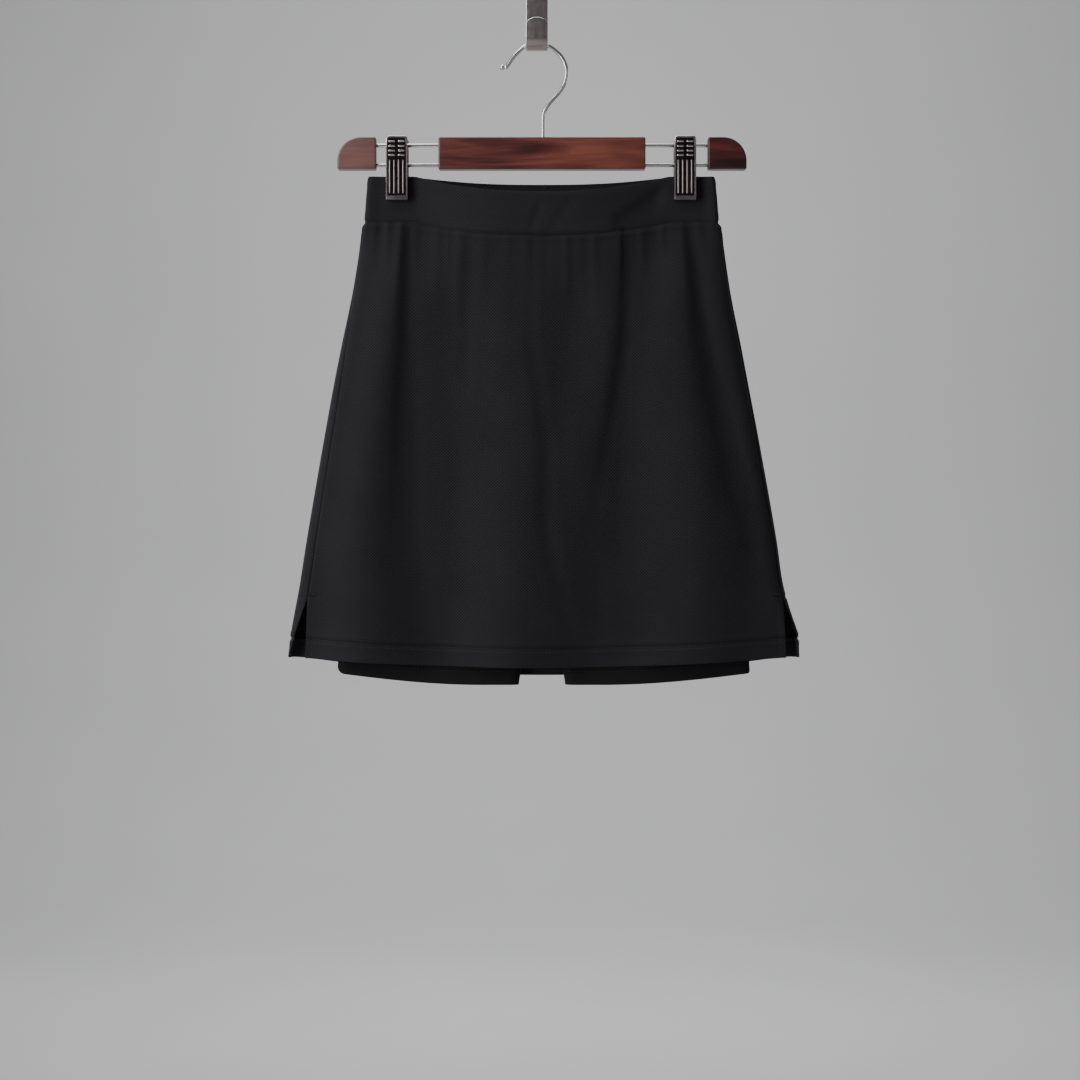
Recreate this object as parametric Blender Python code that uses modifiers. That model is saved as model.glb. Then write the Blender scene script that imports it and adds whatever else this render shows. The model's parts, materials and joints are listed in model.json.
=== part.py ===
"""A sports skort, a short flared skirt over built-in shorts, clipped to a wooden hanger on a wall hook.

+Z is up, the wall is the plane y = 0 and the front of the skort faces -Y. The origin is the middle of
the wall plate's back face. The cloth pieces are walls worked out ring by ring: a ring is the closed
outline of the cloth in plan at one drop below the waistband's top corners.
"""

import math

import bmesh
import bpy
import numpy as np
from mathutils import Matrix, Vector

MM = 0.001
GAP = 0.3 * MM  # between pieces that meet

# Wall hook: one bent steel strap.
STRAP_WIDTH = 19 * MM
STRAP_THICKNESS = 1.5 * MM
PLATE_TOP = 30 * MM
TROUGH_GAP = 20 * MM
TROUGH_FLOOR = -40.2 * MM
LIP_TOP = -15.5 * MM
PLATE_END = 9.5 * MM  # height of the plate's rounded top
LIP_END = 6.5 * MM  # height of the lip's rounded top
ROUND_END_ANGLES = (0, 20, 40, 60, 75, 90)
STRAP_TIP = 0.12  # of its width, at the very top of a rounded end
TROUGH_STEPS = 12

# Hanger: everything hangs in one plane, parallel to the wall.
HANG_Y = -(STRAP_THICKNESS + TROUGH_GAP / 2)
CENTRE_X = 4.3 * MM
BAR_TOP = -116.4 * MM
WOOD_HEIGHT = 27.4 * MM
WOOD_THICKNESS = 12 * MM
WOOD_EDGE = 1.6 * MM
BAR_WIDTH = 177.2 * MM
HANGER_WIDTH = 350 * MM
END_WIDTH = 33.2 * MM
END_CORNER = 20.5 * MM
CORNER_STEPS = 6
RAIL_RADIUS = 1.65 * MM
RAIL_DROPS = (6.5 * MM, 23.4 * MM)  # below the top of the wood
RAIL_SOCKET = 20 * MM
HOOK_RADIUS = 1.75 * MM
HOOK_SOCKET = 3.6 * MM
HOOK_TIP_RADIUS = 2.3 * MM
# The hook wire's bends, from its free tip to its stem: x from the plate's middle and height, in mm.
HOOK_ROUTE = (
    (-29.7, -56.1),
    (-26.7, -56.0),
    (-23.7, -52.2),
    (-20.0, -47.0),
    (-15.2, -42.0),
    (-9.6, -37.5),
    (-3.4, -35.6),
    (3.4, -35.5),
    (9.8, -37.5),
    (15.4, -41.3),
    (20.6, -46.4),
    (24.3, -53.6),
    (25.4, -61.4),
    (23.6, -69.4),
    (19.4, -76.8),
    (13.6, -83.4),
    (8.8, -89.2),
    (5.9, -95.2),
    (5.3, -102.0),
)
STEM_MIDDLE = -110.0

# Clips: their middles from the hanger's, and one pressed jaw on each side of a slider on the rails.
CLIP_PLACES = {"left": -123.8 * MM, "right": 122.3 * MM}
CLIP_WIDTH = 18.4 * MM
CLIP_TOP = BAR_TOP + 0.4 * MM
CLIP_HEIGHT = 54.5 * MM
JAW_THICKNESS = 1.4 * MM
JAW_OUT = 8.6 * MM  # from the hanging plane to a jaw's outer face
JAW_EDGE = 0.35 * MM
SLIDER_SIZE = (12 * MM, 26 * MM)
SLIDER_DROP = 0.6 * MM  # below the clip's top
SLIDER_EDGE = 0.8 * MM
LIP_BAND = 2.6 * MM
LIP_SET_BACK = 0.6 * MM
LIP_SLOPE = 1.2 * MM
RIB_OFFSETS = (-6.0 * MM, -2.2 * MM, 1.6 * MM, 5.4 * MM)
RIB_TOP = 20.5 * MM  # below the clip's top
RIB_SIZE = (1.5 * MM, 29 * MM)
RUNG_OFFSETS = (-4.3 * MM, 3.9 * MM)
RUNG_DROPS = (4.8 * MM, 8.9 * MM, 12.8 * MM, 16.6 * MM)
RUNG_SIZE = (5.8 * MM, 1.7 * MM)
RELIEF = 0.8 * MM
RELIEF_TAPER = 0.8 * MM

# Cloth thicknesses and heights below the waistband's top corners.
WAIST_TOP = -149.9 * MM
BAND_WALL = 2.6
SKIRT_WALL = 1.2
SHORTS_WALL = 1.0
HEM_WALL = 2.2
BAND_DROP = 39.0
SKIRT_TOP = 39.3
SKIRT_HEM = 411.0
HEM_DEPTH = 16.0
SLIT_TOP = 361.0
SHORTS_HEM = 424.7
CROTCH_DROP = 322.0
CROTCH_ROUND = 24.0
SEAM = 0.3
PINCH = BAND_WALL + 0.15  # from the hanging plane to the band's face, between the jaws
CLIP_SPAN = 108.0  # free width of the band to each side of its middle
BAND_BULGE = {"front": 13.4, "back": 3.2}  # between the clips, beyond the pinch
BULGE_FALL = {"front": 0.02, "back": 0.0}  # less of it for each mm down
BULGE_POWER = 2.2
BULGE_EASE = 1.15
BAND_REACH = 148.0
END_PUFF = 0.95  # the band springs open again past the clips
PUFF_SPREAD = 12.0
CREASE_EASE = 5.0
BAND_ROUNDING = 0.5
# Drops below the band's seam over which the skirt and the shorts take their own depths.
SKIRT_FREE = 75.0
SHORTS_FREE = 60.0
SHORTS_CLEAR = 0.9  # between shorts and skirt, beyond the seam's gap, from this far below the band
SHORTS_CLEAR_DROP = 20.0
HEM_CLEAR = (340.0, 40.0)  # where the shorts make room for the skirt's hem, and over which drop
STEEPEST = 1.8

# The skirt's outline and depths, in mm: reach to each side, bulge of front and back, length of the ends.
BODY_COLUMNS = ("drop", "left", "right", "front", "back", "end")
BODY = (
    (0.0, 149.0, 148.2, 3.4, 3.4, 3.6),
    (39.0, 151.3, 151.9, 3.5, 3.5, 3.6),
    (44.0, 153.8, 153.4, 4.6, 3.8, 4.2),
    (60.0, 156.2, 155.8, 7.0, 4.8, 7.0),
    (100.0, 162.6, 161.7, 9.2, 5.8, 10.0),
    (145.0, 171.9, 170.5, 9.4, 6.2, 12.0),
    (230.0, 187.8, 186.5, 9.4, 6.2, 13.0),
    (312.0, 201.6, 201.0, 9.4, 6.2, 13.0),
    (354.0, 208.2, 207.6, 9.4, 6.2, 13.0),
    (375.0, 212.2, 214.0, 9.4, 6.2, 13.0),
    (389.0, 214.7, 218.8, 9.4, 6.2, 13.0),
    (411.0, 217.5, 220.6, 9.4, 6.2, 13.0),
)
# How far in from the skirt's edges the side seams lie, on its front.
SEAM_COLUMNS = ("drop", "left", "right")
SEAMS = (
    (39.0, 1.0, 1.0),
    (100.0, 1.2, 1.0),
    (146.0, 4.8, 1.2),
    (195.0, 6.8, 1.8),
    (250.0, 7.8, 3.0),
    (361.0, 9.3, 3.6),
)
# At the slits the front's edges leave the seams by this much, and the back's curl out to the very edge.
SLIT_DRIFT = {"left": -1.7, "right": -2.3}
SLIT_CURL = 0.9
CURL_RATE = {"left": 1.0, "right": 3.0}
# How far the cloth's rows sag between the clips, in front and behind, over which half span.
SAG_EASE = 0.1
SAG_COLUMNS = ("drop", "front", "back", "half_span", "power")
SAG = (
    (0.0, 14.0, 5.6, 110.0, 2.4),
    (39.0, 12.2, 5.6, 112.0, 2.4),
    (120.0, 11.0, 7.0, 150.0, 2.2),
    (411.0, 8.5, 16.0, 214.0, 2.0),
)
# The shorts under the skirt: reach to each side and depths, and the gap between the legs.
SHORTS_COLUMNS = ("drop", "left", "right", "front", "back", "end")
SHORTS = (
    (39.0, 149.8, 150.4, 2.0, 2.0, 2.5),
    (60.0, 152.2, 151.6, 5.0, 3.2, 4.0),
    (100.0, 156.0, 154.6, 6.8, 3.8, 6.0),
    (230.0, 165.0, 166.5, 7.0, 3.8, 6.0),
    (340.0, 171.0, 173.2, 6.8, 3.8, 6.0),
    (424.7, 175.0, 178.0, 6.0, 3.4, 6.0),
)
LEG_GAP = 39.4
LEG_PARTING = 0.75  # power at which the legs part below the crotch
LEG_END = 8.0
LEG_SAG = 10.0
LEG_SAG_REACH = 0.8  # of a leg's width

# Long soft ridges: the crest's place across the skirt, the widths over which it rises and falls from the
# viewer's left to right, and its height.
RIDGE_COLUMNS = ("drop", "crest", "rise", "fall", "height")
FRONT_RIDGES = {
    "left_roll": (
        (42.0, -126.0, 22.0, 11.0, 1.6),
        (55.0, -127.0, 26.0, 12.0, 3.6),
        (131.0, -136.0, 30.0, 25.0, 7.0),
        (217.0, -144.0, 40.0, 36.0, 9.0),
        (302.0, -153.0, 44.0, 50.0, 11.0),
        (411.0, -154.0, 48.0, 70.0, 12.0),
    ),
    "middle": (
        (42.0, -23.0, 54.0, 60.0, 0.0),
        (131.0, -19.0, 60.0, 66.0, 6.0),
        (217.0, -17.0, 63.0, 68.0, 8.5),
        (302.0, -22.0, 62.0, 76.0, 10.5),
        (411.0, -23.0, 66.0, 86.0, 12.0),
    ),
    "middle_step": (
        (42.0, 66.0, 20.0, 9.0, 1.0),
        (55.0, 63.0, 26.0, 12.0, 2.2),
        (131.0, 52.0, 40.0, 22.0, 4.6),
        (217.0, 37.0, 38.0, 30.0, 4.0),
        (302.0, 30.0, 36.0, 36.0, 1.6),
        (411.0, 28.0, 36.0, 36.0, 0.0),
    ),
    "right": (
        (42.0, 114.0, 20.0, 9.0, 1.4),
        (55.0, 116.0, 26.0, 11.0, 3.4),
        (131.0, 121.0, 44.0, 22.0, 7.0),
        (217.0, 128.0, 58.0, 38.0, 9.0),
        (302.0, 136.0, 72.0, 56.0, 10.0),
        (411.0, 136.0, 74.0, 66.0, 10.0),
    ),
    "right_roll": (
        (42.0, 137.0, 9.0, 9.0, 0.6),
        (131.0, 152.0, 12.0, 13.0, 1.2),
        (217.0, 171.0, 14.0, 14.0, 1.2),
        (302.0, 190.0, 16.0, 12.0, 1.0),
        (411.0, 192.0, 22.0, 22.0, 1.0),
    ),
}
BACK_RIDGES = {
    "left": (
        (42.0, -118.0, 16.0, 18.0, 0.4),
        (131.0, -122.0, 34.0, 40.0, 2.4),
        (411.0, -140.0, 52.0, 60.0, 3.2),
    ),
    "middle": (
        (42.0, 12.0, 60.0, 60.0, 0.0),
        (131.0, 8.0, 70.0, 62.0, 2.4),
        (411.0, -12.0, 74.0, 70.0, 3.2),
    ),
    "right": (
        (42.0, 118.0, 18.0, 16.0, 0.4),
        (131.0, 112.0, 36.0, 34.0, 2.4),
        (411.0, 128.0, 58.0, 60.0, 3.2),
    ),
}
# Small gathers under the waistband: place across, height, half width, and how far down they run.
GATHER_COLUMNS = ("place", "height", "half_width", "length")
FRONT_GATHERS = (
    (-143.0, 0.9, 4.2, 40.0),
    (-133.5, 1.0, 4.0, 45.0),
    (-120.6, 1.7, 5.0, 90.0),
    (-107.5, 1.1, 4.6, 60.0),
    (-88.8, 1.2, 5.4, 70.0),
    (-66.5, 1.1, 5.4, 60.0),
    (-49.5, 1.0, 5.2, 55.0),
    (-30.0, 0.8, 5.6, 45.0),
    (-12.0, 1.2, 5.2, 75.0),
    (8.0, 1.0, 4.8, 55.0),
    (21.5, 0.9, 4.0, 45.0),
    (29.2, 0.9, 3.6, 50.0),
    (43.8, 1.2, 5.0, 60.0),
    (68.0, 1.7, 5.2, 90.0),
    (84.0, 1.1, 4.6, 55.0),
    (95.4, 1.0, 3.8, 45.0),
    (102.2, 0.9, 3.6, 40.0),
    (119.4, 1.7, 5.0, 90.0),
    (134.0, 1.0, 4.4, 45.0),
    (145.0, 0.8, 3.8, 35.0),
)
BACK_GATHERS = (
    (-136.0, 0.8, 4.6, 45.0),
    (-112.0, 1.0, 5.2, 70.0),
    (-84.0, 0.9, 5.4, 60.0),
    (-58.0, 1.0, 5.4, 55.0),
    (-31.0, 0.8, 5.2, 50.0),
    (-9.0, 1.0, 5.0, 65.0),
    (17.0, 0.8, 5.2, 50.0),
    (44.0, 1.0, 5.4, 60.0),
    (71.0, 0.9, 5.2, 55.0),
    (97.0, 1.0, 5.0, 60.0),
    (118.0, 0.9, 4.8, 70.0),
    (138.0, 0.8, 4.2, 40.0),
)
GATHER_RISE = 4.0
GATHER_WIDENING = 160.0  # over this drop a gather doubles in width
GATHER_SPLAY = 0.12
# Pulls across the waistband: both ends (place across, drop), depth and half width.
CREASE_COLUMNS = ("start", "end", "depth", "half_width")
BAND_CREASES = (
    ((112.0, 7.5), (56.0, 33.0), 1.5, 6.5),
    ((-4.0, 14.0), (-9.0, 34.0), 0.9, 4.5),
    ((22.0, 12.0), (5.0, 38.0), 0.5, 5.0),
)

BAND_ROWS = (0.0, 1.4, 12.0, 24.0, 37.4, 39.0)
SKIRT_ROWS = (39.3, 43.5, 50.0, 60.0, 76.0, 100.0, 135.0, 180.0, 230.0, 290.0, 361.0)
SLIT_ROWS = (366.0, 378.0, 394.5, 395.5, 411.0)
SHORTS_ROWS = (39.3, 43.5, 50.0, 60.0, 90.0, 170.0, 270.0, 302.0, 314.0, 321.0)
LEG_ROWS = (324.0, 340.0, 375.0, 424.7)
BAND_POINTS = 78
SKIRT_POINTS = 78
BACK_POINTS = 48
SHORTS_POINTS = 14
RING_POINTS = 700
END_DENSITY = 3.0
END_SPREAD = 12.0

COLLECTION = "skort_on_hanger"


def smoothstep(value):
    value = np.clip(value, 0.0, 1.0)
    return value * value * (3.0 - 2.0 * value)


def bell(value):
    return np.cos(0.5 * math.pi * np.clip(value, -1.0, 1.0)) ** 2


def reading(table, columns, column, drop):
    """The named column of a table at this drop, on a smooth curve through the table's rows."""
    rows = np.array(table, float)
    drops = rows[:, 0]
    values = rows[:, columns.index(column)]
    slopes = np.gradient(values, drops) if len(rows) > 2 else np.full(len(rows), np.ptp(values))
    steps = np.diff(values) / np.diff(drops)
    turning = np.concatenate([[False], steps[:-1] * steps[1:] <= 0, [False]])
    slopes[turning] = 0.0
    slopes[0] = steps[0]
    slopes[-1] = steps[-1]
    drop = float(np.clip(drop, drops[0], drops[-1]))
    row = min(int(np.searchsorted(drops, drop, side="right")) - 1, len(rows) - 2)
    span = drops[row + 1] - drops[row]
    t = (drop - drops[row]) / span
    start = (1 + 2 * t) * (1 - t) ** 2 * values[row] + t * (1 - t) ** 2 * span * slopes[row]
    end = t * t * (3 - 2 * t) * values[row + 1] + t * t * (t - 1) * span * slopes[row + 1]
    return start + end


def body(column, drop):
    return reading(BODY, BODY_COLUMNS, column, drop)


def seam_inset(side, drop):
    return reading(SEAMS, SEAM_COLUMNS, side, drop)


def front_edge_inset(side, drop):
    """The front panel's edge: the side seam, then nearly straight down from the slit's top."""
    if drop <= SLIT_TOP:
        return seam_inset(side, drop)
    share = (drop - SLIT_TOP) / (SKIRT_HEM - SLIT_TOP)
    flare = body(side, drop) - body(side, SLIT_TOP)
    return seam_inset(side, SLIT_TOP) + flare + SLIT_DRIFT[side] * share


def back_edge_inset(side, drop):
    """The back panel's edge: the side seam, then curling back to the skirt's very edge."""
    share = np.clip(CURL_RATE[side] * (drop - SLIT_TOP) / (SKIRT_HEM - SLIT_TOP), 0.0, 1.0)
    return seam_inset(side, drop) * (1 - share) + SLIT_CURL * share


def shorts(column, drop):
    return reading(SHORTS, SHORTS_COLUMNS, column, drop)


def sag(x, side, drop):
    """How far a row hangs below its ends at x, in front or behind."""
    depth = reading(SAG, SAG_COLUMNS, side, drop)
    span = reading(SAG, SAG_COLUMNS, "half_span", drop)
    power = reading(SAG, SAG_COLUMNS, "power", drop)
    free = np.clip(1.0 - np.abs(x / span) ** power, 0.0, None)
    return depth * (1.0 + SAG_EASE) * free**2 / (free + SAG_EASE)


def ridges(table, x, drop):
    """The summed height of the long ridges at x."""
    total = np.zeros_like(x)
    for rows in table.values():
        crest, rise, fall, height = (
            reading(rows, RIDGE_COLUMNS, column, drop) for column in RIDGE_COLUMNS[1:]
        )
        offset = x - crest
        total += height * bell(offset / np.where(offset < 0, rise, fall))
    return total


def gathers(table, x, drop):
    """The summed height of the small gathers at x, which start at the band's seam and fade downwards."""
    total = np.zeros_like(x)
    below = drop - SKIRT_TOP
    widening = below / GATHER_WIDENING
    for row in table:
        gather = dict(zip(GATHER_COLUMNS, row))
        fade = smoothstep(1.0 - below / gather["length"]) * smoothstep(0.5 + below / GATHER_RISE)
        offset = x - gather["place"] * (1 + widening * GATHER_SPLAY)
        total += gather["height"] * fade * bell(offset / (gather["half_width"] * (1 + widening)))
    return total


def band_depth(x, drop, side):
    """From the hanging plane to the band's outer face: pinched at the clips, bulging between them."""
    bulge = BAND_BULGE[side] - BULGE_FALL[side] * drop
    free = np.clip(1.0 - np.abs(x / CLIP_SPAN) ** BULGE_POWER, 0.0, None)
    depth = PINCH + bulge * smoothstep(free * BULGE_EASE)
    depth += END_PUFF * bell((np.abs(x) - BAND_REACH) / PUFF_SPREAD)
    if side == "front":
        for row in BAND_CREASES:
            crease = dict(zip(CREASE_COLUMNS, row))
            away = distance(x, drop, crease["start"], crease["end"])
            dip = crease["depth"] * bell(away / crease["half_width"])
            depth -= dip * smoothstep(free * CREASE_EASE)
    return depth


def distance(x, drop, start, end):
    """From points at x on one row to the straight line between two places."""
    along = np.array(end) - np.array(start)
    length = np.hypot(*along)
    t = np.clip(((x - start[0]) * along[0] + (drop - start[1]) * along[1]) / length**2, 0.0, 1.0)
    return np.hypot(x - start[0] - t * along[0], drop - start[1] - t * along[1])


def skirt_depth(x, drop, side):
    """From the hanging plane to the skirt's outer face."""
    band = band_depth(x, BAND_DROP, side)
    if side == "front":
        folds = ridges(FRONT_RIDGES, x, drop) + gathers(FRONT_GATHERS, x, drop)
    else:
        folds = ridges(BACK_RIDGES, x, drop) + gathers(BACK_GATHERS, x, drop)
    free = smoothstep((drop - BAND_DROP) / SKIRT_FREE)
    return band * (1 - free) + body(side, drop) * free + folds


def shorts_depth(x, drop, side):
    """From the hanging plane to the shorts' outer face, always inside the skirt."""
    band = band_depth(x, BAND_DROP, side) - SKIRT_WALL - SEAM
    free = smoothstep((drop - BAND_DROP) / SHORTS_FREE)
    own = band * (1 - free) + shorts(side, drop) * free
    clear = SKIRT_WALL + SEAM + SHORTS_CLEAR * smoothstep((drop - BAND_DROP) / SHORTS_CLEAR_DROP)
    clear += (HEM_WALL - SKIRT_WALL) * smoothstep((drop - HEM_CLEAR[0]) / HEM_CLEAR[1])
    skirt = skirt_depth(x, min(drop, SKIRT_HEM), side) * end_closure(x, "body", drop)
    slope = np.minimum(np.hypot(1.0, np.gradient(skirt, x)), STEEPEST)
    own -= (SKIRT_WALL + SEAM) * (slope - 1) * (1 - free)
    return np.maximum(np.minimum(own, skirt - clear * slope), 0.0)


def end_closure(x, kind, drop):
    """1 over most of a ring, falling to 0 round its two ends."""
    column = body if kind == "body" else shorts
    reach = np.where(x < 0, column("left", drop), column("right", drop))
    length = column("end", drop)
    past = np.clip((np.abs(x) - reach + length) / length, 0.0, 1.0)
    return np.sqrt(1.0 - past**2)


class Ring:
    """The closed outline of a cloth tube in plan at one drop, from its left end round the front and back."""

    def __init__(self, left, right, front, back):
        turn = np.linspace(0.0, math.pi, RING_POINTS)
        across = -np.cos(turn)
        x = np.where(across < 0, -across * left, across * right)
        ahead = np.column_stack([x, -front(x)])
        behind = np.column_stack([x, back(x)])[::-1]
        self.points = np.vstack([ahead, behind[1:]])
        steps = np.hypot(*np.diff(self.points, axis=0).T)
        self.lengths = np.concatenate([[0.0], np.cumsum(steps)])
        self.front_length = self.lengths[RING_POINTS - 1]
        self.total = self.lengths[-1]
        count = len(self.points)
        tangent = self.points[np.r_[1:count, 1]] - self.points[np.r_[-2, 0 : count - 1]]
        tangent /= np.hypot(*tangent.T)[:, None]
        self.inward = np.column_stack([-tangent[:, 1], tangent[:, 0]])

    def front_at(self, x):
        """The length along the ring at which its front passes x."""
        return float(np.interp(x, self.points[:RING_POINTS, 0], self.lengths[:RING_POINTS]))

    def places(self, start, end, count):
        """Lengths along a stretch of the ring, closer together round its two tight ends."""
        fine = np.linspace(start, end, 20 * count)
        density = np.ones_like(fine)
        for tight in (0.0, self.front_length, self.total, self.total + self.front_length):
            density += END_DENSITY * bell((fine - tight) / END_SPREAD)
        share = np.concatenate([[0.0], np.cumsum(0.5 * (density[1:] + density[:-1]))])
        return np.interp(np.linspace(0.0, share[-1], count), share, fine)

    def sample(self, places, inset):
        """Points at these lengths along the ring, moved in by the inset."""
        places = np.mod(places, self.total)
        moved = self.points + self.inward * inset
        point = np.column_stack([np.interp(places, self.lengths, moved[:, i]) for i in (0, 1)])
        in_front = places <= self.front_length
        return point, in_front


def body_ring(drop, depth):
    return Ring(
        -body("left", drop),
        body("right", drop),
        lambda x: depth(x, drop, "front") * end_closure(x, "body", drop),
        lambda x: depth(x, drop, "back") * end_closure(x, "body", drop),
    )


def row_of(ring, drop, start, end, count, inset):
    """One row of a wall: points spaced evenly along a stretch of a ring, at their hanging height."""
    point, in_front = ring.sample(ring.places(start, end, count), inset)
    drops = drop + np.where(in_front, sag(point[:, 0], "front", drop), sag(point[:, 0], "back", drop))
    return np.column_stack([point, -drops])


def place(points):
    """From cloth coordinates, in mm from the band's top in the hanging plane, to metres in the part."""
    return points * MM + np.array([CENTRE_X, HANG_Y, WAIST_TOP])


def new_material(name, colour, roughness, metallic=0.0):
    material = bpy.data.materials.new(name)
    material.use_nodes = True
    shader = material.node_tree.nodes["Principled BSDF"]
    shader.inputs["Base Color"].default_value = (*colour, 1.0)
    shader.inputs["Roughness"].default_value = roughness
    shader.inputs["Metallic"].default_value = metallic
    return material


def add_object(name, mesh, material, collection):
    thing = bpy.data.objects.new(name, mesh)
    thing.data.materials.clear()
    thing.data.materials.append(material)
    collection.objects.link(thing)
    return thing


def mesh_from(name, shape, smooth=True):
    mesh = bpy.data.meshes.new(name)
    bmesh.ops.recalc_face_normals(shape, faces=shape.faces)
    shape.to_mesh(mesh)
    shape.free()
    if smooth:
        mesh.shade_smooth()
        mesh.set_sharp_from_angle(angle=math.radians(35))
    return mesh


def cloth_wall(name, outer, inner, material, collection):
    """A closed wall between two grids of points, with a rim all round."""
    rows, count = outer.shape[:2]
    shape = bmesh.new()
    grids = [[[shape.verts.new(p) for p in row] for row in place(grid)] for grid in (outer, inner)]
    for grid in grids:
        for i in range(rows - 1):
            for j in range(count - 1):
                shape.faces.new((grid[i][j], grid[i][j + 1], grid[i + 1][j + 1], grid[i + 1][j]))
    edge = [(0, j) for j in range(count)] + [(i, count - 1) for i in range(1, rows)]
    edge += [(rows - 1, j) for j in range(count - 2, -1, -1)] + [(i, 0) for i in range(rows - 2, 0, -1)]
    out, into = grids
    for (a, b), (c, d) in zip(edge, edge[1:] + edge[:1]):
        shape.faces.new((out[a][b], out[c][d], into[c][d], into[a][b]))
    return add_object(name, mesh_from(name, shape), material, collection)


def build_waistband(material, collection):
    """One strip round the waist, its ends meeting at the middle of the back."""
    outer, inner = [], []
    for drop in BAND_ROWS:
        ring = body_ring(drop, band_depth)
        middle = ring.front_length + (ring.total - ring.front_length) / 2
        start, end = middle + SEAM / 2, middle - SEAM / 2 + ring.total
        rounding = BAND_ROUNDING if drop in (BAND_ROWS[0], BAND_ROWS[-1]) else 0.0
        outer.append(row_of(ring, drop, start, end, BAND_POINTS, rounding))
        inner.append(row_of(ring, drop, start, end, BAND_POINTS, BAND_WALL - rounding))
    return cloth_wall("waistband", np.array(outer), np.array(inner), material, collection)


def skirt_wall_at(drop):
    """The skirt's thickness: doubled where the hem is turned up."""
    return HEM_WALL if drop > SKIRT_HEM - HEM_DEPTH else SKIRT_WALL


def build_skirt_front(material, collection):
    outer, inner = [], []
    for drop in SKIRT_ROWS + SLIT_ROWS:
        ring = body_ring(drop, skirt_depth)
        start = ring.front_at(-body("left", drop) + front_edge_inset("left", drop)) + SEAM / 2
        end = ring.front_at(body("right", drop) - front_edge_inset("right", drop)) - SEAM / 2
        outer.append(row_of(ring, drop, start, end, SKIRT_POINTS, 0.0))
        inner.append(row_of(ring, drop, start, end, SKIRT_POINTS, skirt_wall_at(drop)))
    return cloth_wall("skirt_front", np.array(outer), np.array(inner), material, collection)


def build_skirt_back(material, collection):
    """The back runs round both edges to the side seams, which lie a little way onto the front."""
    outer, inner = [], []
    for drop in SKIRT_ROWS + SLIT_ROWS:
        ring = body_ring(drop, skirt_depth)
        start = ring.front_at(body("right", drop) - back_edge_inset("right", drop)) + SEAM / 2
        end = ring.front_at(-body("left", drop) + back_edge_inset("left", drop)) - SEAM / 2 + ring.total
        outer.append(row_of(ring, drop, start, end, BACK_POINTS, 0.0))
        inner.append(row_of(ring, drop, start, end, BACK_POINTS, skirt_wall_at(drop)))
    return cloth_wall("skirt_back", np.array(outer), np.array(inner), material, collection)


def leg_inside(drop):
    """From the middle to a leg's inner edge: nothing above the crotch, half the gap at the leg's hem."""
    below = max(0.0, (drop - CROTCH_DROP) / (SHORTS_HEM - CROTCH_DROP))
    return SEAM / 2 + (LEG_GAP - SEAM) / 2 * below**LEG_PARTING


def crotch_closure(x, drop):
    """1 above the crotch, and below it a leg's inner edge falls to 0."""
    above = np.clip((drop - CROTCH_DROP + CROTCH_ROUND) / CROTCH_ROUND, 0.0, 1.0)
    still_open = math.sqrt(1.0 - above**2)
    past = np.clip(1.0 - (np.abs(x) - leg_inside(drop)) / LEG_END, 0.0, 1.0)
    return still_open + (1 - still_open) * np.sqrt(1.0 - past**2)


def leg_hem(x, side_sign, drop):
    """How much a row of the shorts belongs to its leg's hem, and how far that hem dips to the inside at x."""
    reach = shorts("left", drop) if side_sign < 0 else shorts("right", drop)
    inward = np.clip((reach - np.abs(x)) / (reach - LEG_GAP / 2) / LEG_SAG_REACH, 0.0, 1.0)
    low = smoothstep((drop - BAND_DROP) / (SHORTS_HEM - BAND_DROP))
    return low, LEG_SAG * np.sin(0.5 * math.pi * inward)


def shorts_row(side_sign, face, drop, inset):
    """One row of a shorts panel, from its outer edge to the middle seam or the inner leg."""
    outside = shorts("left", drop) if side_sign < 0 else shorts("right", drop)
    inside = leg_inside(drop)
    turn = np.linspace(0.0, math.pi, RING_POINTS)
    x = inside + (outside - inside) * 0.5 * (1 + np.cos(turn))
    signed = x * side_sign
    closure = end_closure(signed, "shorts", drop) * crotch_closure(x, drop)
    depth = SEAM / 2 + np.maximum(shorts_depth(signed, drop, face) - SEAM / 2, 0.0) * closure
    line = np.column_stack([x, depth])
    tangent = np.gradient(line, axis=0)
    tangent /= np.hypot(*tangent.T)[:, None]
    inward = np.column_stack([-tangent[:, 1], tangent[:, 0]])
    inward *= np.where(inward[:, 1:] > 0, -1.0, 1.0)
    lengths = np.concatenate([[0.0], np.cumsum(np.hypot(*np.diff(line, axis=0).T))])
    places = np.linspace(0.0, lengths[-1], SHORTS_POINTS)
    moved = line + inward * inset
    moved[:, 1] = np.maximum(moved[:, 1], SEAM / 2)
    x, y = (np.interp(places, lengths, moved[:, i]) for i in (0, 1))
    low, dip = leg_hem(x, side_sign, drop)
    drops = drop + sag(x, face, drop) * (1 - low) + dip * low
    return np.column_stack([x * side_sign, -y if face == "front" else y, -drops])


def build_shorts(material, collection):
    for face in ("front", "back"):
        for side, sign in (("left", -1), ("right", 1)):
            rows = SHORTS_ROWS + LEG_ROWS
            outer = np.array([shorts_row(sign, face, drop, 0.0) for drop in rows])
            inner = np.array([shorts_row(sign, face, drop, SHORTS_WALL) for drop in rows])
            cloth_wall(f"shorts_{face}_{side}", outer, inner, material, collection)


def solid_from_curve(curve, name):
    """A curve object's evaluated surface as a closed mesh with welded caps."""
    guide = bpy.data.objects.new(name + "_guide", curve)
    bpy.context.scene.collection.objects.link(guide)
    bpy.context.view_layer.update()
    mesh = bpy.data.meshes.new_from_object(guide.evaluated_get(bpy.context.evaluated_depsgraph_get()))
    bpy.data.objects.remove(guide)
    shape = bmesh.new()
    shape.from_mesh(mesh)
    bmesh.ops.remove_doubles(shape, verts=shape.verts, dist=1e-6)
    bpy.data.meshes.remove(mesh)
    return shape


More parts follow.
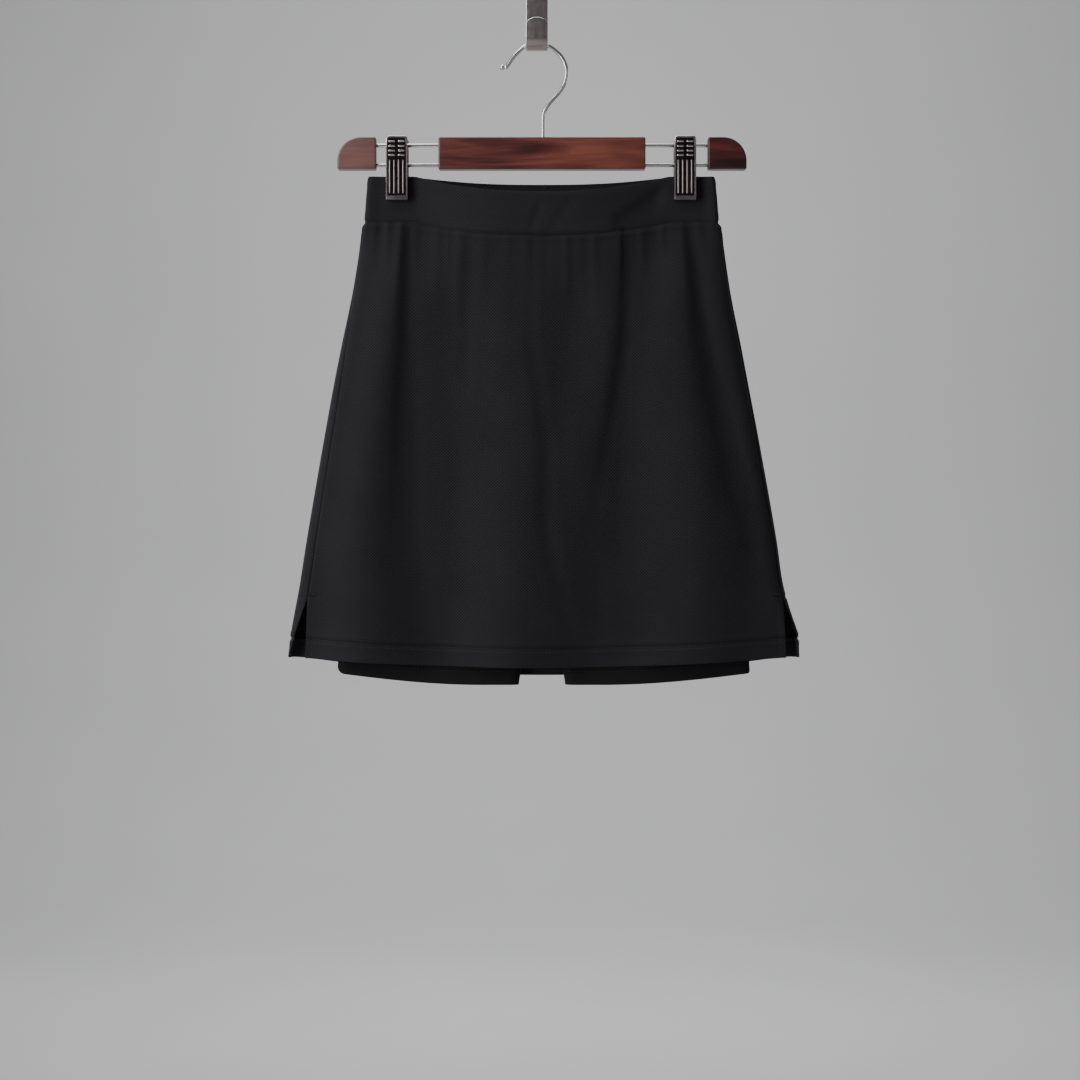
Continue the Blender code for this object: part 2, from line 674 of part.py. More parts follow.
def plate_mesh(name, outline, thickness):
    """A flat plate in the XZ plane, centred on y = 0, from its outline."""
    curve = bpy.data.curves.new(name, "CURVE")
    curve.dimensions = "2D"
    curve.fill_mode = "BOTH"
    curve.extrude = thickness / 2
    spline = curve.splines.new("POLY")
    spline.points.add(len(outline) - 1)
    for point, (x, z) in zip(spline.points, outline):
        point.co = (x, z, 0.0, 1.0)
    spline.use_cyclic_u = True
    shape = solid_from_curve(curve, name)
    bmesh.ops.rotate(shape, verts=shape.verts, matrix=Matrix.Rotation(math.pi / 2, 3, "X"))
    return mesh_from(name, shape)


def block(name, size, centre):
    shape = bmesh.new()
    bmesh.ops.create_cube(shape, size=1.0)
    bmesh.ops.scale(shape, vec=size, verts=shape.verts)
    bmesh.ops.translate(shape, vec=centre, verts=shape.verts)
    return mesh_from(name, shape, smooth=False)


def rod(name, radius, start, end, segments=14):
    """A plain cylinder between two points."""
    axis = Vector(end) - Vector(start)
    shape = bmesh.new()
    turn = Vector((0, 0, 1)).rotation_difference(axis).to_matrix().to_4x4()
    bmesh.ops.create_cone(
        shape,
        cap_ends=True,
        segments=segments,
        radius1=radius,
        radius2=radius,
        depth=axis.length,
        matrix=Matrix.Translation((Vector(start) + Vector(end)) / 2) @ turn,
    )
    return mesh_from(name, shape)


def bevel(thing, width, segments=2):
    modifier = thing.modifiers.new("rounded edges", "BEVEL")
    modifier.width = width
    modifier.segments = segments
    modifier.limit_method = "ANGLE"
    modifier.angle_limit = math.radians(40)


def boolean(thing, other, operation="DIFFERENCE"):
    modifier = thing.modifiers.new(f"{operation.lower()} {other.name}", "BOOLEAN")
    modifier.operation = operation
    modifier.solver = "EXACT"
    modifier.object = other


def add_cutter(name, mesh, cutters):
    cutter = bpy.data.objects.new(name, mesh)
    cutter.hide_render = True
    cutter.display_type = "WIRE"
    cutters.objects.link(cutter)
    return cutter


def build_hanger_wood(material, collection, cutters):
    middle = BAR_TOP - WOOD_HEIGHT / 2
    bar = add_object(
        "hanger_bar",
        block("hanger_bar", (BAR_WIDTH, WOOD_THICKNESS, WOOD_HEIGHT), (CENTRE_X, HANG_Y, middle)),
        material,
        collection,
    )
    bevel(bar, WOOD_EDGE)
    reach = BAR_WIDTH / 2 + 5 * MM
    for i, drop in enumerate(RAIL_DROPS):
        z = BAR_TOP - drop
        ends = [(CENTRE_X + s * reach, HANG_Y, z) for s in (-1, 1)]
        boolean(bar, add_cutter(f"bar_bore_{i}", rod("bar_bore", RAIL_RADIUS + GAP, *ends), cutters))
    stem_x = HOOK_ROUTE[-1][0] * MM
    socket = rod(
        "hook_socket",
        HOOK_RADIUS + GAP,
        (stem_x, HANG_Y, BAR_TOP - HOOK_SOCKET),
        (stem_x, HANG_Y, BAR_TOP + 5 * MM),
    )
    boolean(bar, add_cutter("hook_socket", socket, cutters))
    for side, sign in (("left", -1), ("right", 1)):
        build_hanger_end(side, sign, material, collection, cutters)


def build_hanger_end(side, sign, material, collection, cutters):
    """An end block, its outer top corner rounded off, bored for both rails."""
    outer = HANGER_WIDTH / 2
    inner = outer - END_WIDTH
    low, high = BAR_TOP - WOOD_HEIGHT, BAR_TOP
    turns = [0.5 * math.pi * i / CORNER_STEPS for i in range(CORNER_STEPS + 1)]
    corner = [
        (outer - END_CORNER * (1 - math.cos(t)), high - END_CORNER * (1 - math.sin(t))) for t in turns
    ]
    outline = [(inner, low), (outer, low), *corner, (inner, high)]
    mesh = plate_mesh(f"hanger_end_{side}", [(sign * x, z) for x, z in outline], WOOD_THICKNESS)
    end = add_object(f"hanger_end_{side}", mesh, material, collection)
    end.location = (CENTRE_X, HANG_Y, 0.0)
    bevel(end, WOOD_EDGE)
    for i, drop in enumerate(RAIL_DROPS):
        ends = [
            (CENTRE_X + sign * (inner + reach), HANG_Y, BAR_TOP - drop)
            for reach in (-5 * MM, RAIL_SOCKET + GAP)
        ]
        bore = rod(f"end_bore_{side}_{i}", RAIL_RADIUS + GAP, *ends)
        boolean(end, add_cutter(f"end_bore_{side}_{i}", bore, cutters))


def build_rails(material, collection):
    reach = HANGER_WIDTH / 2 - END_WIDTH + RAIL_SOCKET
    for name, drop in zip(("rail_upper", "rail_lower"), RAIL_DROPS):
        ends = [(CENTRE_X + s * reach, HANG_Y, BAR_TOP - drop) for s in (-1, 1)]
        add_object(name, rod(name, RAIL_RADIUS, *ends), material, collection)


def smooth_route(points, steps):
    """Points on a smooth curve through the route's own points."""
    points = [points[0], *points, points[-1]]
    route = []
    for a, b, c, d in zip(points, points[1:], points[2:], points[3:]):
        a, b, c, d = (np.array(p, float) for p in (a, b, c, d))
        for t in np.arange(steps) / steps:
            bend = (2 * a - 5 * b + 4 * c - d) * t**2 + (3 * b - a - 3 * c + d) * t**3
            route.append(b + 0.5 * ((c - a) * t + bend))
    return [*route, np.array(points[-1], float)]


def build_hanger_hook(material, collection, cutters):
    """The hook wire with its blunt ball tip, down into the bar."""
    stem_x = HOOK_ROUTE[-1][0]
    stem = [(stem_x, z) for z in (STEM_MIDDLE, (BAR_TOP - HOOK_SOCKET + GAP) / MM)]
    curve = bpy.data.curves.new("hanger_hook", "CURVE")
    curve.dimensions = "3D"
    curve.bevel_depth = HOOK_RADIUS
    curve.bevel_resolution = 2
    curve.use_fill_caps = True
    route = smooth_route([*HOOK_ROUTE, *stem], 2)
    spline = curve.splines.new("POLY")
    spline.points.add(len(route) - 1)
    for point, (x, z) in zip(spline.points, route):
        point.co = (x * MM, HANG_Y, z * MM, 1.0)
    wire = mesh_from("hanger_hook", solid_from_curve(curve, "hanger_hook"))
    hook = add_object("hanger_hook", wire, material, collection)
    ball = bmesh.new()
    tip = (HOOK_ROUTE[0][0] * MM, HANG_Y, HOOK_ROUTE[0][1] * MM)
    bmesh.ops.create_uvsphere(
        ball, u_segments=10, v_segments=6, radius=HOOK_TIP_RADIUS, matrix=Matrix.Translation(tip)
    )
    boolean(hook, add_cutter("hook_tip", mesh_from("hook_tip", ball), cutters), "UNION")


def build_wall_hook(material, collection):
    """One strap: up the wall, round the trough and up its lip, with rounded ends."""
    radius = TROUGH_GAP / 2 + STRAP_THICKNESS / 2
    back_y = -STRAP_THICKNESS / 2
    bend_z = TROUGH_FLOOR + TROUGH_GAP / 2
    rises = [1 - math.sin(math.radians(angle)) for angle in ROUND_END_ANGLES]
    path = [(back_y, PLATE_TOP - PLATE_END * rise) for rise in reversed(rises)]
    for i in range(TROUGH_STEPS + 1):
        turn = math.pi * i / TROUGH_STEPS
        path.append((HANG_Y + radius * math.cos(turn), bend_z - radius * math.sin(turn)))
    front_y = path[-1][0]
    path += [(front_y, LIP_TOP - LIP_END * rise) for rise in rises]
    shape = bmesh.new()
    rows = []
    for y, z in path:
        fall = max((z - PLATE_TOP) / PLATE_END + 1, 0.0)
        if y == front_y:
            fall = max((z - LIP_TOP) / LIP_END + 1, 0.0)
        half = STRAP_WIDTH / 2 * max(math.sqrt(max(1 - fall**2, 0.0)), STRAP_TIP)
        rows.append([shape.verts.new((half * s, y, z)) for s in (-1.0, 0.0, 1.0)])
    for a, b in zip(rows, rows[1:]):
        for j in (0, 1):
            shape.faces.new((a[j], a[j + 1], b[j + 1], b[j]))
    mesh = bpy.data.meshes.new("wall_hook")
    bmesh.ops.recalc_face_normals(shape, faces=shape.faces)
    shape.to_mesh(mesh)
    shape.free()
    strap = add_object("wall_hook", mesh, material, collection)
    shell = strap.modifiers.new("thickness", "SOLIDIFY")
    shell.thickness = STRAP_THICKNESS
    shell.offset = 0.0
    shell.use_even_offset = True


def jaw_outline():
    """A jaw from the side, as distances from the hanging plane and heights: its plate, then its lip."""
    top, low = CLIP_TOP, CLIP_TOP - CLIP_HEIGHT
    grip = PINCH * MM + GAP
    face, back = JAW_OUT, JAW_OUT - JAW_THICKNESS
    return [
        (back, top),
        (face, top),
        (face, low + LIP_BAND),
        (face - LIP_SET_BACK, low),
        (grip, low),
        (grip, low + LIP_BAND),
        (back, low + LIP_BAND + LIP_SLOPE),
    ]


def build_clip(side, centre, metal, collection, cutters):
    """A clip: a slider bored for both rails, and a jaw on each side of it that grips the band."""
    x = CENTRE_X + centre
    wide, tall = SLIDER_SIZE
    depth = 2 * (JAW_OUT - JAW_THICKNESS - GAP)
    top = CLIP_TOP - SLIDER_DROP
    mesh = block(f"clip_{side}_slider", (wide, depth, tall), (x, HANG_Y, top - tall / 2))
    slider = add_object(f"clip_{side}_slider", mesh, metal, collection)
    bevel(slider, SLIDER_EDGE)
    for i, drop in enumerate(RAIL_DROPS):
        ends = [(x + s * wide, HANG_Y, BAR_TOP - drop) for s in (-1, 1)]
        name = f"slider_bore_{side}_{i}"
        boolean(slider, add_cutter(name, rod(name, RAIL_RADIUS + GAP, *ends), cutters))
    for face, sign in (("front", -1), ("back", 1)):
        name = f"clip_{side}_jaw_{face}"
        shape = bmesh.new()
        outline = jaw_outline()
        loops = [
            [shape.verts.new((x + s * CLIP_WIDTH / 2, HANG_Y + sign * y, z)) for y, z in outline]
            for s in (-1, 1)
        ]
        shape.faces.new(loops[0])
        shape.faces.new(loops[1][::-1])
        for j in range(len(outline)):
            k = (j + 1) % len(outline)
            shape.faces.new((loops[0][j], loops[1][j], loops[1][k], loops[0][k]))
        jaw = add_object(name, mesh_from(name, shape, smooth=False), metal, collection)
        bevel(jaw, JAW_EDGE, segments=1)
        relief = jaw_relief(f"{name}_relief", x)
        if face == "back":
            relief.transform(Matrix.Diagonal((1, -1, 1, 1)) @ Matrix.Translation((0, -2 * HANG_Y, 0)))
            relief.flip_normals()
        boolean(jaw, add_cutter(relief.name, relief, cutters), "UNION")


def jaw_relief(name, x):
    """The ribs and rungs pressed into a front jaw's face, sunk a little way into its plate."""
    face = HANG_Y - JAW_OUT
    shape = bmesh.new()
    rung_width, rung_height = RUNG_SIZE
    rib_width, rib_height = RIB_SIZE
    rib_top = CLIP_TOP - RIB_TOP
    pads = [
        ((x + dx, CLIP_TOP - drop), (rung_width, rung_height)) for dx in RUNG_OFFSETS for drop in RUNG_DROPS
    ]
    pads += [((x + dx, rib_top - rib_height / 2), (rib_width, rib_height)) for dx in RIB_OFFSETS]
    for (px, pz), (width, height) in pads:
        made = bmesh.ops.create_cube(shape, size=1.0)["verts"]
        bmesh.ops.scale(shape, vec=(width, 2 * RELIEF, height), verts=made)
        bmesh.ops.translate(shape, vec=(px, face, pz), verts=made)
        front = [v for v in made if v.co.y < face]
        pivot = Vector((px, face - RELIEF, pz))
        bmesh.ops.translate(shape, vec=-pivot, verts=front)
        narrower = (1 - RELIEF_TAPER / width, 1, 1 - RELIEF_TAPER / height)
        bmesh.ops.scale(shape, vec=narrower, verts=front)
        bmesh.ops.translate(shape, vec=pivot, verts=front)
    return mesh_from(name, shape, smooth=False)


def main():
    for thing in list(bpy.data.objects):
        bpy.data.objects.remove(thing)
    parts = bpy.data.collections.new(COLLECTION)
    cutters = bpy.data.collections.new("cutters")
    bpy.context.scene.collection.children.link(parts)
    bpy.context.scene.collection.children.link(cutters)

    skirt_cloth = new_material("charcoal knit", (0.022, 0.022, 0.025), 0.85)
    band_cloth = new_material("charcoal band knit", (0.024, 0.024, 0.027), 0.8)
    shorts_cloth = new_material("black knit", (0.012, 0.012, 0.014), 0.8)
    wood = new_material("reddish wood", (0.16, 0.05, 0.035), 0.4)
    chrome = new_material("chrome", (0.62, 0.61, 0.6), 0.15, 1.0)
    steel = new_material("brushed steel", (0.45, 0.43, 0.42), 0.35, 1.0)

    build_wall_hook(steel, parts)
    build_hanger_hook(chrome, parts, cutters)
    build_hanger_wood(wood, parts, cutters)
    build_rails(chrome, parts)
    for side, centre in CLIP_PLACES.items():
        build_clip(side, centre, chrome, parts, cutters)
    build_waistband(band_cloth, parts)
    build_skirt_front(skirt_cloth, parts)
    build_skirt_back(skirt_cloth, parts)
    build_shorts(shorts_cloth, parts)


main()
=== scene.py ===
"""Looks of a sports skort hung by two clips from a wooden hanger on a bent steel wall hook.

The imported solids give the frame: +Z is up, the wall is the plane y = 0 and the front faces -Y. Hard pieces
are modelled in metres on the solids' own boxes. Cloth is worked out in mm from the waistband's top in the
hanging plane, ring by ring, and then placed in the frame.
"""

from __future__ import annotations

import json
import logging
import math
from contextlib import contextmanager
from dataclasses import dataclass, field
from enum import Enum
from typing import Callable, Iterable, Iterator, Sequence

import bmesh
import bpy
import numpy as np
from bpy.types import Material, Node, NodeSocket, Object
from mathutils import Matrix, Vector

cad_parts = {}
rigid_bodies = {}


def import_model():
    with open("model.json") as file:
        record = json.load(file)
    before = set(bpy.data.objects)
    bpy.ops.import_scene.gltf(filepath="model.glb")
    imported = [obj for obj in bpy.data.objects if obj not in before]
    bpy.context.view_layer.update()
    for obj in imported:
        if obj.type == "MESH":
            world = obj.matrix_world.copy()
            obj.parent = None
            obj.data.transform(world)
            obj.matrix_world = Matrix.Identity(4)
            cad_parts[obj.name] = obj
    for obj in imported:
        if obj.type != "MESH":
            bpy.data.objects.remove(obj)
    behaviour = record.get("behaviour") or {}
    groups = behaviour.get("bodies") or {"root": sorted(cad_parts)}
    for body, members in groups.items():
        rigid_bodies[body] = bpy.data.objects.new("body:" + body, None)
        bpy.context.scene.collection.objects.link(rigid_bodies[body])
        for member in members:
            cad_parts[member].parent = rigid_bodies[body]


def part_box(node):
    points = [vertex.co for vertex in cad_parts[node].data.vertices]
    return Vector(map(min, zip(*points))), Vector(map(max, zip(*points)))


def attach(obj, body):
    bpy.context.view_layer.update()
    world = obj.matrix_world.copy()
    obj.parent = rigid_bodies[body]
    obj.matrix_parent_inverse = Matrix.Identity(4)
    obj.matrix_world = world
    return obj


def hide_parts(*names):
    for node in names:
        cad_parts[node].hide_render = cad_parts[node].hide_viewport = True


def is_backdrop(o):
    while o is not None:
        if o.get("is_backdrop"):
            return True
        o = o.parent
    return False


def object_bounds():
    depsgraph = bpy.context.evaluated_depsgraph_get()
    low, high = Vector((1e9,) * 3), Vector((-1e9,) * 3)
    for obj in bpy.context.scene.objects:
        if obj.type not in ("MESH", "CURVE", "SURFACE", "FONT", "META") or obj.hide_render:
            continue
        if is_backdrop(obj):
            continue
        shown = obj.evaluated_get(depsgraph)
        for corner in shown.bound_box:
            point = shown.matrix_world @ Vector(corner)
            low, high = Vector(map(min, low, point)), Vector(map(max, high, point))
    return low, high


LOG = logging.getLogger("skort")
MM = 0.001
GAP = 0.3
BODY = "root"
RAILS = ("rail_upper", "rail_lower")
RAIL_RADIUS = 1.65 * MM
WEAVE_MAP = "weave"

Colour = tuple[float, float, float]
Row = tuple[float, ...]
Stain = Sequence[tuple[float, Colour]]
Depth = Callable[[np.ndarray, "Face", float], np.ndarray]


class Way(Enum):
    """A way along an axis, with its word in node names."""

    @property
    def word(self) -> str:
        """Its name in node names."""
        return self.name.lower()


class Face(Way):
    """The two faces of the hanging garment, by the way that each looks along Y."""

    FRONT = -1
    BACK = 1


class Side(Way):
    """The viewer's left and right, by their way along X."""

    LEFT = -1
    RIGHT = 1


# ---------------------------------------------------------------- curves and tables


def smoothstep(value: np.ndarray | float) -> np.ndarray:
    """A soft rise from 0 to 1 as the value goes from 0 to 1."""
    value = np.clip(value, 0.0, 1.0)
    return value * value * (3.0 - 2.0 * value)


def bell(value: np.ndarray | float) -> np.ndarray:
    """A soft bump, 1 at 0 and 0 from 1 outwards."""
    return np.cos(0.5 * math.pi * np.clip(value, -1.0, 1.0)) ** 2


@dataclass(frozen=True)
class Press:
    """A soft line that is pressed into the cloth, or stands off it, in mm.

    Attributes:
        place: where its middle lies.
        height: of its middle above the cloth, below 0 where it is pressed in.
        reach: from its middle to where it has faded out.
    """

    place: float
    height: float
    reach: float

    def at(self, where: np.ndarray) -> np.ndarray:
        """Its height at places across it."""
        return self.height * bell((where - self.place) / self.reach)


@dataclass(frozen=True)
class Table:
    """A short table that is read as smooth curves through its rows.

    Attributes:
        columns: the names of the columns; the first is the drop below the waistband's top corners, in mm.
        rows: the numbers, a row for each drop, from the top down.
    """

    columns: tuple[str, ...]
    rows: tuple[Row, ...]

    def read(self, column: str, drop: float) -> float:
        """Reads a column at a drop.

        Args:
            column: the column's name.
            drop: the drop, held within the table's first and last.

        Returns:
            The value on a smooth curve that turns only at the table's own rows.
        """
        rows = np.array(self.rows, float)
        drops, values = rows[:, 0], rows[:, self.columns.index(column)]
        steps = np.diff(values) / np.diff(drops)
        slopes = np.gradient(values, drops) if len(rows) > 2 else np.full(len(rows), steps[0])
        slopes[np.concatenate([[False], steps[:-1] * steps[1:] <= 0, [False]])] = 0.0
        slopes[0], slopes[-1] = steps[0], steps[-1]
        drop = float(np.clip(drop, drops[0], drops[-1]))
        row = min(int(np.searchsorted(drops, drop, side="right")) - 1, len(rows) - 2)
        span = drops[row + 1] - drops[row]
        t = (drop - drops[row]) / span
        start = (1 + 2 * t) * (1 - t) ** 2 * values[row] + t * (1 - t) ** 2 * span * slopes[row]
        end = t * t * (3 - 2 * t) * values[row + 1] + t * t * (t - 1) * span * slopes[row + 1]
        return float(start + end)


REACHES = ("drop", "left", "right", "front", "back", "end")
RIDGE = ("drop", "crest", "rise", "fall", "height")
CREASE = ("drop", "place", "depth", "half_width")


def ridge(*rows: Row) -> Table:
    """A long soft ridge, its flanks of different widths, from its rows."""
    return Table(RIDGE, rows)


def crease(*rows: Row) -> Table:
    """A crease that wanders as it goes down, a trough where its depth is above 0, from its rows."""
    return Table(CREASE, rows)


# ---------------------------------------------------------------- modelling by hand


def deselect() -> None:
    """Leaves edit mode and selects nothing."""
    if bpy.context.mode != "OBJECT":
        bpy.ops.object.mode_set(mode="OBJECT")
    bpy.ops.object.select_all(action="DESELECT")


def pick(piece: Object) -> None:
    """Selects one piece alone and makes it active."""
    deselect()
    piece.select_set(True)
    bpy.context.view_layer.objects.active = piece


def take(name: str) -> Object:
    """Names the piece that was just added, applies its place to its mesh and returns it."""
    piece = bpy.context.object
    piece.name = piece.data.name = name
    bpy.ops.object.transform_apply(location=True, rotation=True, scale=True)
    return piece


def cube(name: str, low: Vector, high: Vector) -> Object:
    """A box between two corners."""
    deselect()
    bpy.ops.mesh.primitive_cube_add(size=1.0, location=(low + high) / 2)
    bpy.context.object.scale = high - low
    return take(name)


def cylinder(name: str, radius: float, start: Vector, end: Vector, vertices: int = 32) -> Object:
    """A closed round bar between two points."""
    deselect()
    axis = end - start
    bpy.ops.mesh.primitive_cylinder_add(
        vertices=vertices,
        radius=radius,
        depth=axis.length,
        location=(start + end) / 2,
        rotation=Vector((0, 0, 1)).rotation_difference(axis).to_euler(),
    )
    return take(name)


def capsule(name: str, radius: float, foot: Vector, length: float) -> Object:
    """An upright round bar with round ends: a ball stretched at its waist.

    Args:
        name: the piece's name.
        radius: of the bar, in metres.
        foot: the middle of its lower end's ball.
        length: from there to the middle of its upper end's ball.

    Returns:
        The new piece.
    """
    deselect()
    bpy.ops.mesh.primitive_uv_sphere_add(segments=16, ring_count=9, radius=radius)
    piece = take(name)
    with editing(piece, "VERT") as shape:
        for vert in shape.verts:
            vert.select = vert.co.z > 0
        bmesh.update_edit_mesh(piece.data)
        bpy.ops.transform.translate(value=(0.0, 0.0, length))
    piece.data.transform(Matrix.Translation(foot))
    return piece


@contextmanager
def editing(piece: Object, mode: str = "EDGE") -> Iterator[bmesh.types.BMesh]:
    """Edit mode on one piece, with nothing selected.

    Args:
        piece: the piece to edit.
        mode: what is selected in it, VERT, EDGE or FACE.

    Yields:
        The piece's edit mesh.
    """
    pick(piece)
    bpy.ops.object.mode_set(mode="EDIT")
    bpy.ops.mesh.select_mode(type=mode)
    bpy.ops.mesh.select_all(action="DESELECT")
    yield bmesh.from_edit_mesh(piece.data)
    bpy.ops.object.mode_set(mode="OBJECT")


def bevel_edges(piece: Object, chosen: Callable[[Vector, Vector], bool], width: float, steps: int) -> None:
    """Rounds the edges that a test on their two ends chooses.

    Args:
        piece: the piece to edit.
        chosen: says whether an edge is rounded, from its two ends.
        width: how far each edge is cut back, in metres.
        steps: how many faces round it.
    """
    with editing(piece) as shape:
        for edge in shape.edges:
            edge.select = chosen(edge.verts[0].co, edge.verts[1].co)
        bmesh.update_edit_mesh(piece.data)
        bpy.ops.mesh.bevel(offset=width, segments=steps, profile=0.5)


def modify(piece: Object, kind: str, **settings: object) -> None:
    """Adds a modifier with these settings and applies it."""
    pick(piece)
    modifier = piece.modifiers.new(kind.lower(), kind)
    for name, value in settings.items():
        setattr(modifier, name, value)
    bpy.ops.object.modifier_apply(modifier=modifier.name)


def round_edges(piece: Object, width: float, steps: int = 3, angle: float = 40.0, finish: int = -1) -> None:
    """Rounds every edge that is sharper than the angle, in degrees, in one of the piece's finishes."""
    limit = {"limit_method": "ANGLE", "angle_limit": math.radians(angle)}
    modify(piece, "BEVEL", width=width, segments=steps, material=finish, **limit)


def combine(piece: Object, other: Object, operation: str) -> None:
    """Joins another piece to this one with its own finish, or cuts it out, and removes it."""
    finishes = "TRANSFER" if other.data.materials else "INDEX"
    modify(piece, "BOOLEAN", object=other, operation=operation, solver="EXACT", material_mode=finishes)
    bpy.data.objects.remove(other)


def join(pieces: Sequence[Object], name: str) -> Object:
    """Makes one object of several."""
    pick(pieces[0])
    for piece in pieces[1:]:
        piece.select_set(True)
    bpy.ops.object.join()
    pieces[0].name = pieces[0].data.name = name
    return pieces[0]


def shade(piece: Object, angle: float = 35.0) -> None:
    """Shades a piece smooth, apart from edges sharper than the angle, in degrees."""
    pick(piece)
    bpy.ops.object.shade_smooth_by_angle(angle=math.radians(angle))


def dress(piece: Object, finish: Material, slot: str, *nodes: str) -> Object:
    """Gives a piece its finish and its place in the frame.

    Args:
        piece: the finished piece.
        finish: its material, put first unless the piece already has others.
        slot: the record's material slot.
        nodes: the solids that it stands for.

    Returns:
        The piece.
    """
    if not piece.data.materials:
        piece.data.materials.append(finish)
    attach(piece, BODY)
    if nodes:
        piece.name = f"{nodes[0]}.{slot}"
        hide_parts(*nodes)
    LOG.info("%s: %d faces", piece.name, len(piece.data.polygons))
    return piece


# ---------------------------------------------------------------- finishes


class Shader:
    """A material's node tree while it is put together."""

    def __init__(self, name: str) -> None:
        """Starts a material with its one surface shader."""
        self.material = bpy.data.materials.new(name)
        self.material.use_nodes = True
        self.tree = self.material.node_tree
        self.surface = self.tree.nodes["Principled BSDF"]

    def node(self, kind: str, settings: dict[str, object] | None = None, **inputs: object) -> Node:
        """Adds a node.

        Args:
            kind: the node's type, without the leading ShaderNode.
            settings: its properties.
            inputs: values or sockets for its inputs, by name with _ for a space.

        Returns:
            The new node.
        """
        node = self.tree.nodes.new("ShaderNode" + kind)
        for name, value in (settings or {}).items():
            setattr(node, name, value)
        for name, value in inputs.items():
            self.feed(node.inputs[name.replace("_", " ")], value)
        return node

    def feed(self, target: NodeSocket, value: object) -> None:
        """Links a socket, or sets a plain value."""
        if isinstance(value, NodeSocket):
            self.tree.links.new(value, target)
        else:
            target.default_value = value

    def maths(self, operation: str, first: object, second: object = 0.0) -> NodeSocket:
        """The result of a maths node on two values or sockets."""
        node = self.node("Math", {"operation": operation})
        self.feed(node.inputs[0], first)
        self.feed(node.inputs[1], second)
        return node.outputs[0]

    def blend(self, share: NodeSocket, first: Colour, second: Colour) -> NodeSocket:
        """A colour between two, by a share."""
        node = self.node("Mix", {"data_type": "RGBA"})
        self.feed(node.inputs["Factor"], share)
        node.inputs[6].default_value = (*first, 1.0)
        node.inputs[7].default_value = (*second, 1.0)
        return node.outputs[2]

    def place(self) -> NodeSocket:
        """The piece's own coordinates, in metres."""
        return self.node("TexCoord").outputs["Object"]

    def mapped(self, vector: NodeSocket, **inputs: Row) -> NodeSocket:
        """A vector that is scaled, turned and moved."""
        return self.node("Mapping", Vector=vector, **inputs).outputs[0]

    def noise(self, vector: NodeSocket, **inputs: float) -> NodeSocket:
        """Noise at a vector."""
        return self.node("TexNoise", Vector=vector, **inputs).outputs["Fac"]

    def weigh(self, *parts: tuple[NodeSocket, float], start: float = 0.0) -> NodeSocket:
        """The sum of a start and of sockets, each times its own weight."""
        total = start
        for socket, weight in parts:
            total = self.maths("ADD", total, self.maths("MULTIPLY", socket, weight))
        return total

    def ramp(self, share: NodeSocket, stops: Stain) -> NodeSocket:
        """A colour from a row of stops, by a share."""
        node = self.node("ValToRGB", Fac=share)
        elements = node.color_ramp.elements
        while len(elements) < len(stops):
            elements.new(0.5)
        for element, (position, colour) in zip(elements, stops):
            element.position = position
            element.color = (*colour, 1.0)
        return node.outputs["Color"]

    def bump(self, height: NodeSocket, distance: float, strength: float = 1.0) -> None:
        """Raises the surface by a height times this distance, in metres."""
        node = self.node("Bump", Height=height, Distance=distance, Strength=strength)
        self.feed(self.surface.inputs["Normal"], node.outputs["Normal"])

    def set(self, **values: object) -> Material:
        """Sets the surface's own inputs, by name with _ for a space, and returns the material."""
        for name, value in values.items():
            self.feed(self.surface.inputs[name.replace("_", " ")], value)
        return self.material


@dataclass(frozen=True)
class KnitFinish:
    """A birdseye knit: staggered pits between fine slanting wales, on the cloth's own weave map in mm. Its
    colour darkens down in the pits and between the wales, painted shade in the knit's hollows besides the
    bump.

    Attributes:
        name: the material's name.
        dark: the colour down in the pits, painted shade there.
        light: the colour of the raised yarn.
        pitch: from pit to pit across, and over two rows down, in mm.
        relief: how deep the pits are, in mm.
        roughness: of the yarn.
        sheen: how much light the loose fibres catch.
    """

    name: str
    dark: Colour
    light: Colour
    pitch: tuple[float, float]
    relief: float
    roughness: float
    sheen: float

    def make(self) -> Material:
        """Builds the material.

        Returns:
            The new material.
        """
        shader = Shader(self.name)
        weave = shader.node("UVMap", {"uv_map": WEAVE_MAP}).outputs["UV"]
        axes = shader.node("SeparateXYZ", Vector=weave)
        across, down = (
            shader.maths("MULTIPLY", axes.outputs[axis], 2 * math.pi / pitch)
            for axis, pitch in zip(("X", "Y"), self.pitch)
        )
        pits = shader.maths("MULTIPLY", shader.maths("COSINE", across), shader.maths("COSINE", down))
        slant = shader.maths("COSINE", shader.maths("ADD", across, down))
        fibre = shader.noise(weave, Scale=2.2, Detail=3.0, Roughness=0.6)
        cloud = shader.noise(weave, Scale=0.021, Detail=2.0)
        # The pits and the furrows between the wales darken the colour, painted shade in the knit's hollows;
        # the cloud and the fibres are the yarn's own uneven tone.
        stitch = shader.weigh((pits, 0.34), (slant, 0.12))
        share = shader.weigh((stitch, 1.05), (cloud, 0.34), (fibre, 0.56))
        shader.bump(shader.weigh((stitch, 1.0), (fibre, 0.30)), self.relief * MM)
        return shader.set(
            Base_Color=shader.blend(share, self.dark, self.light),
            Roughness=self.roughness,
            Specular_IOR_Level=0.3,
            Sheen_Weight=self.sheen,
            Sheen_Roughness=0.45,
            Sheen_Tint=(0.85, 0.85, 1.0, 1.0),
        )


@dataclass(frozen=True)
class ThreadFinish:
    """Sewing thread: plied polyester with a little gloss."""

    name: str
    colour: Colour

    def make(self) -> Material:
        """Builds the material."""
        shader = Shader(self.name)
        ply = shader.noise(shader.place(), Scale=2600.0, Detail=2.0)
        lighter = tuple(1.6 * channel for channel in self.colour)
        shader.bump(ply, 0.05 * MM)
        return shader.set(Base_Color=shader.blend(ply, self.colour, lighter), Roughness=0.5)


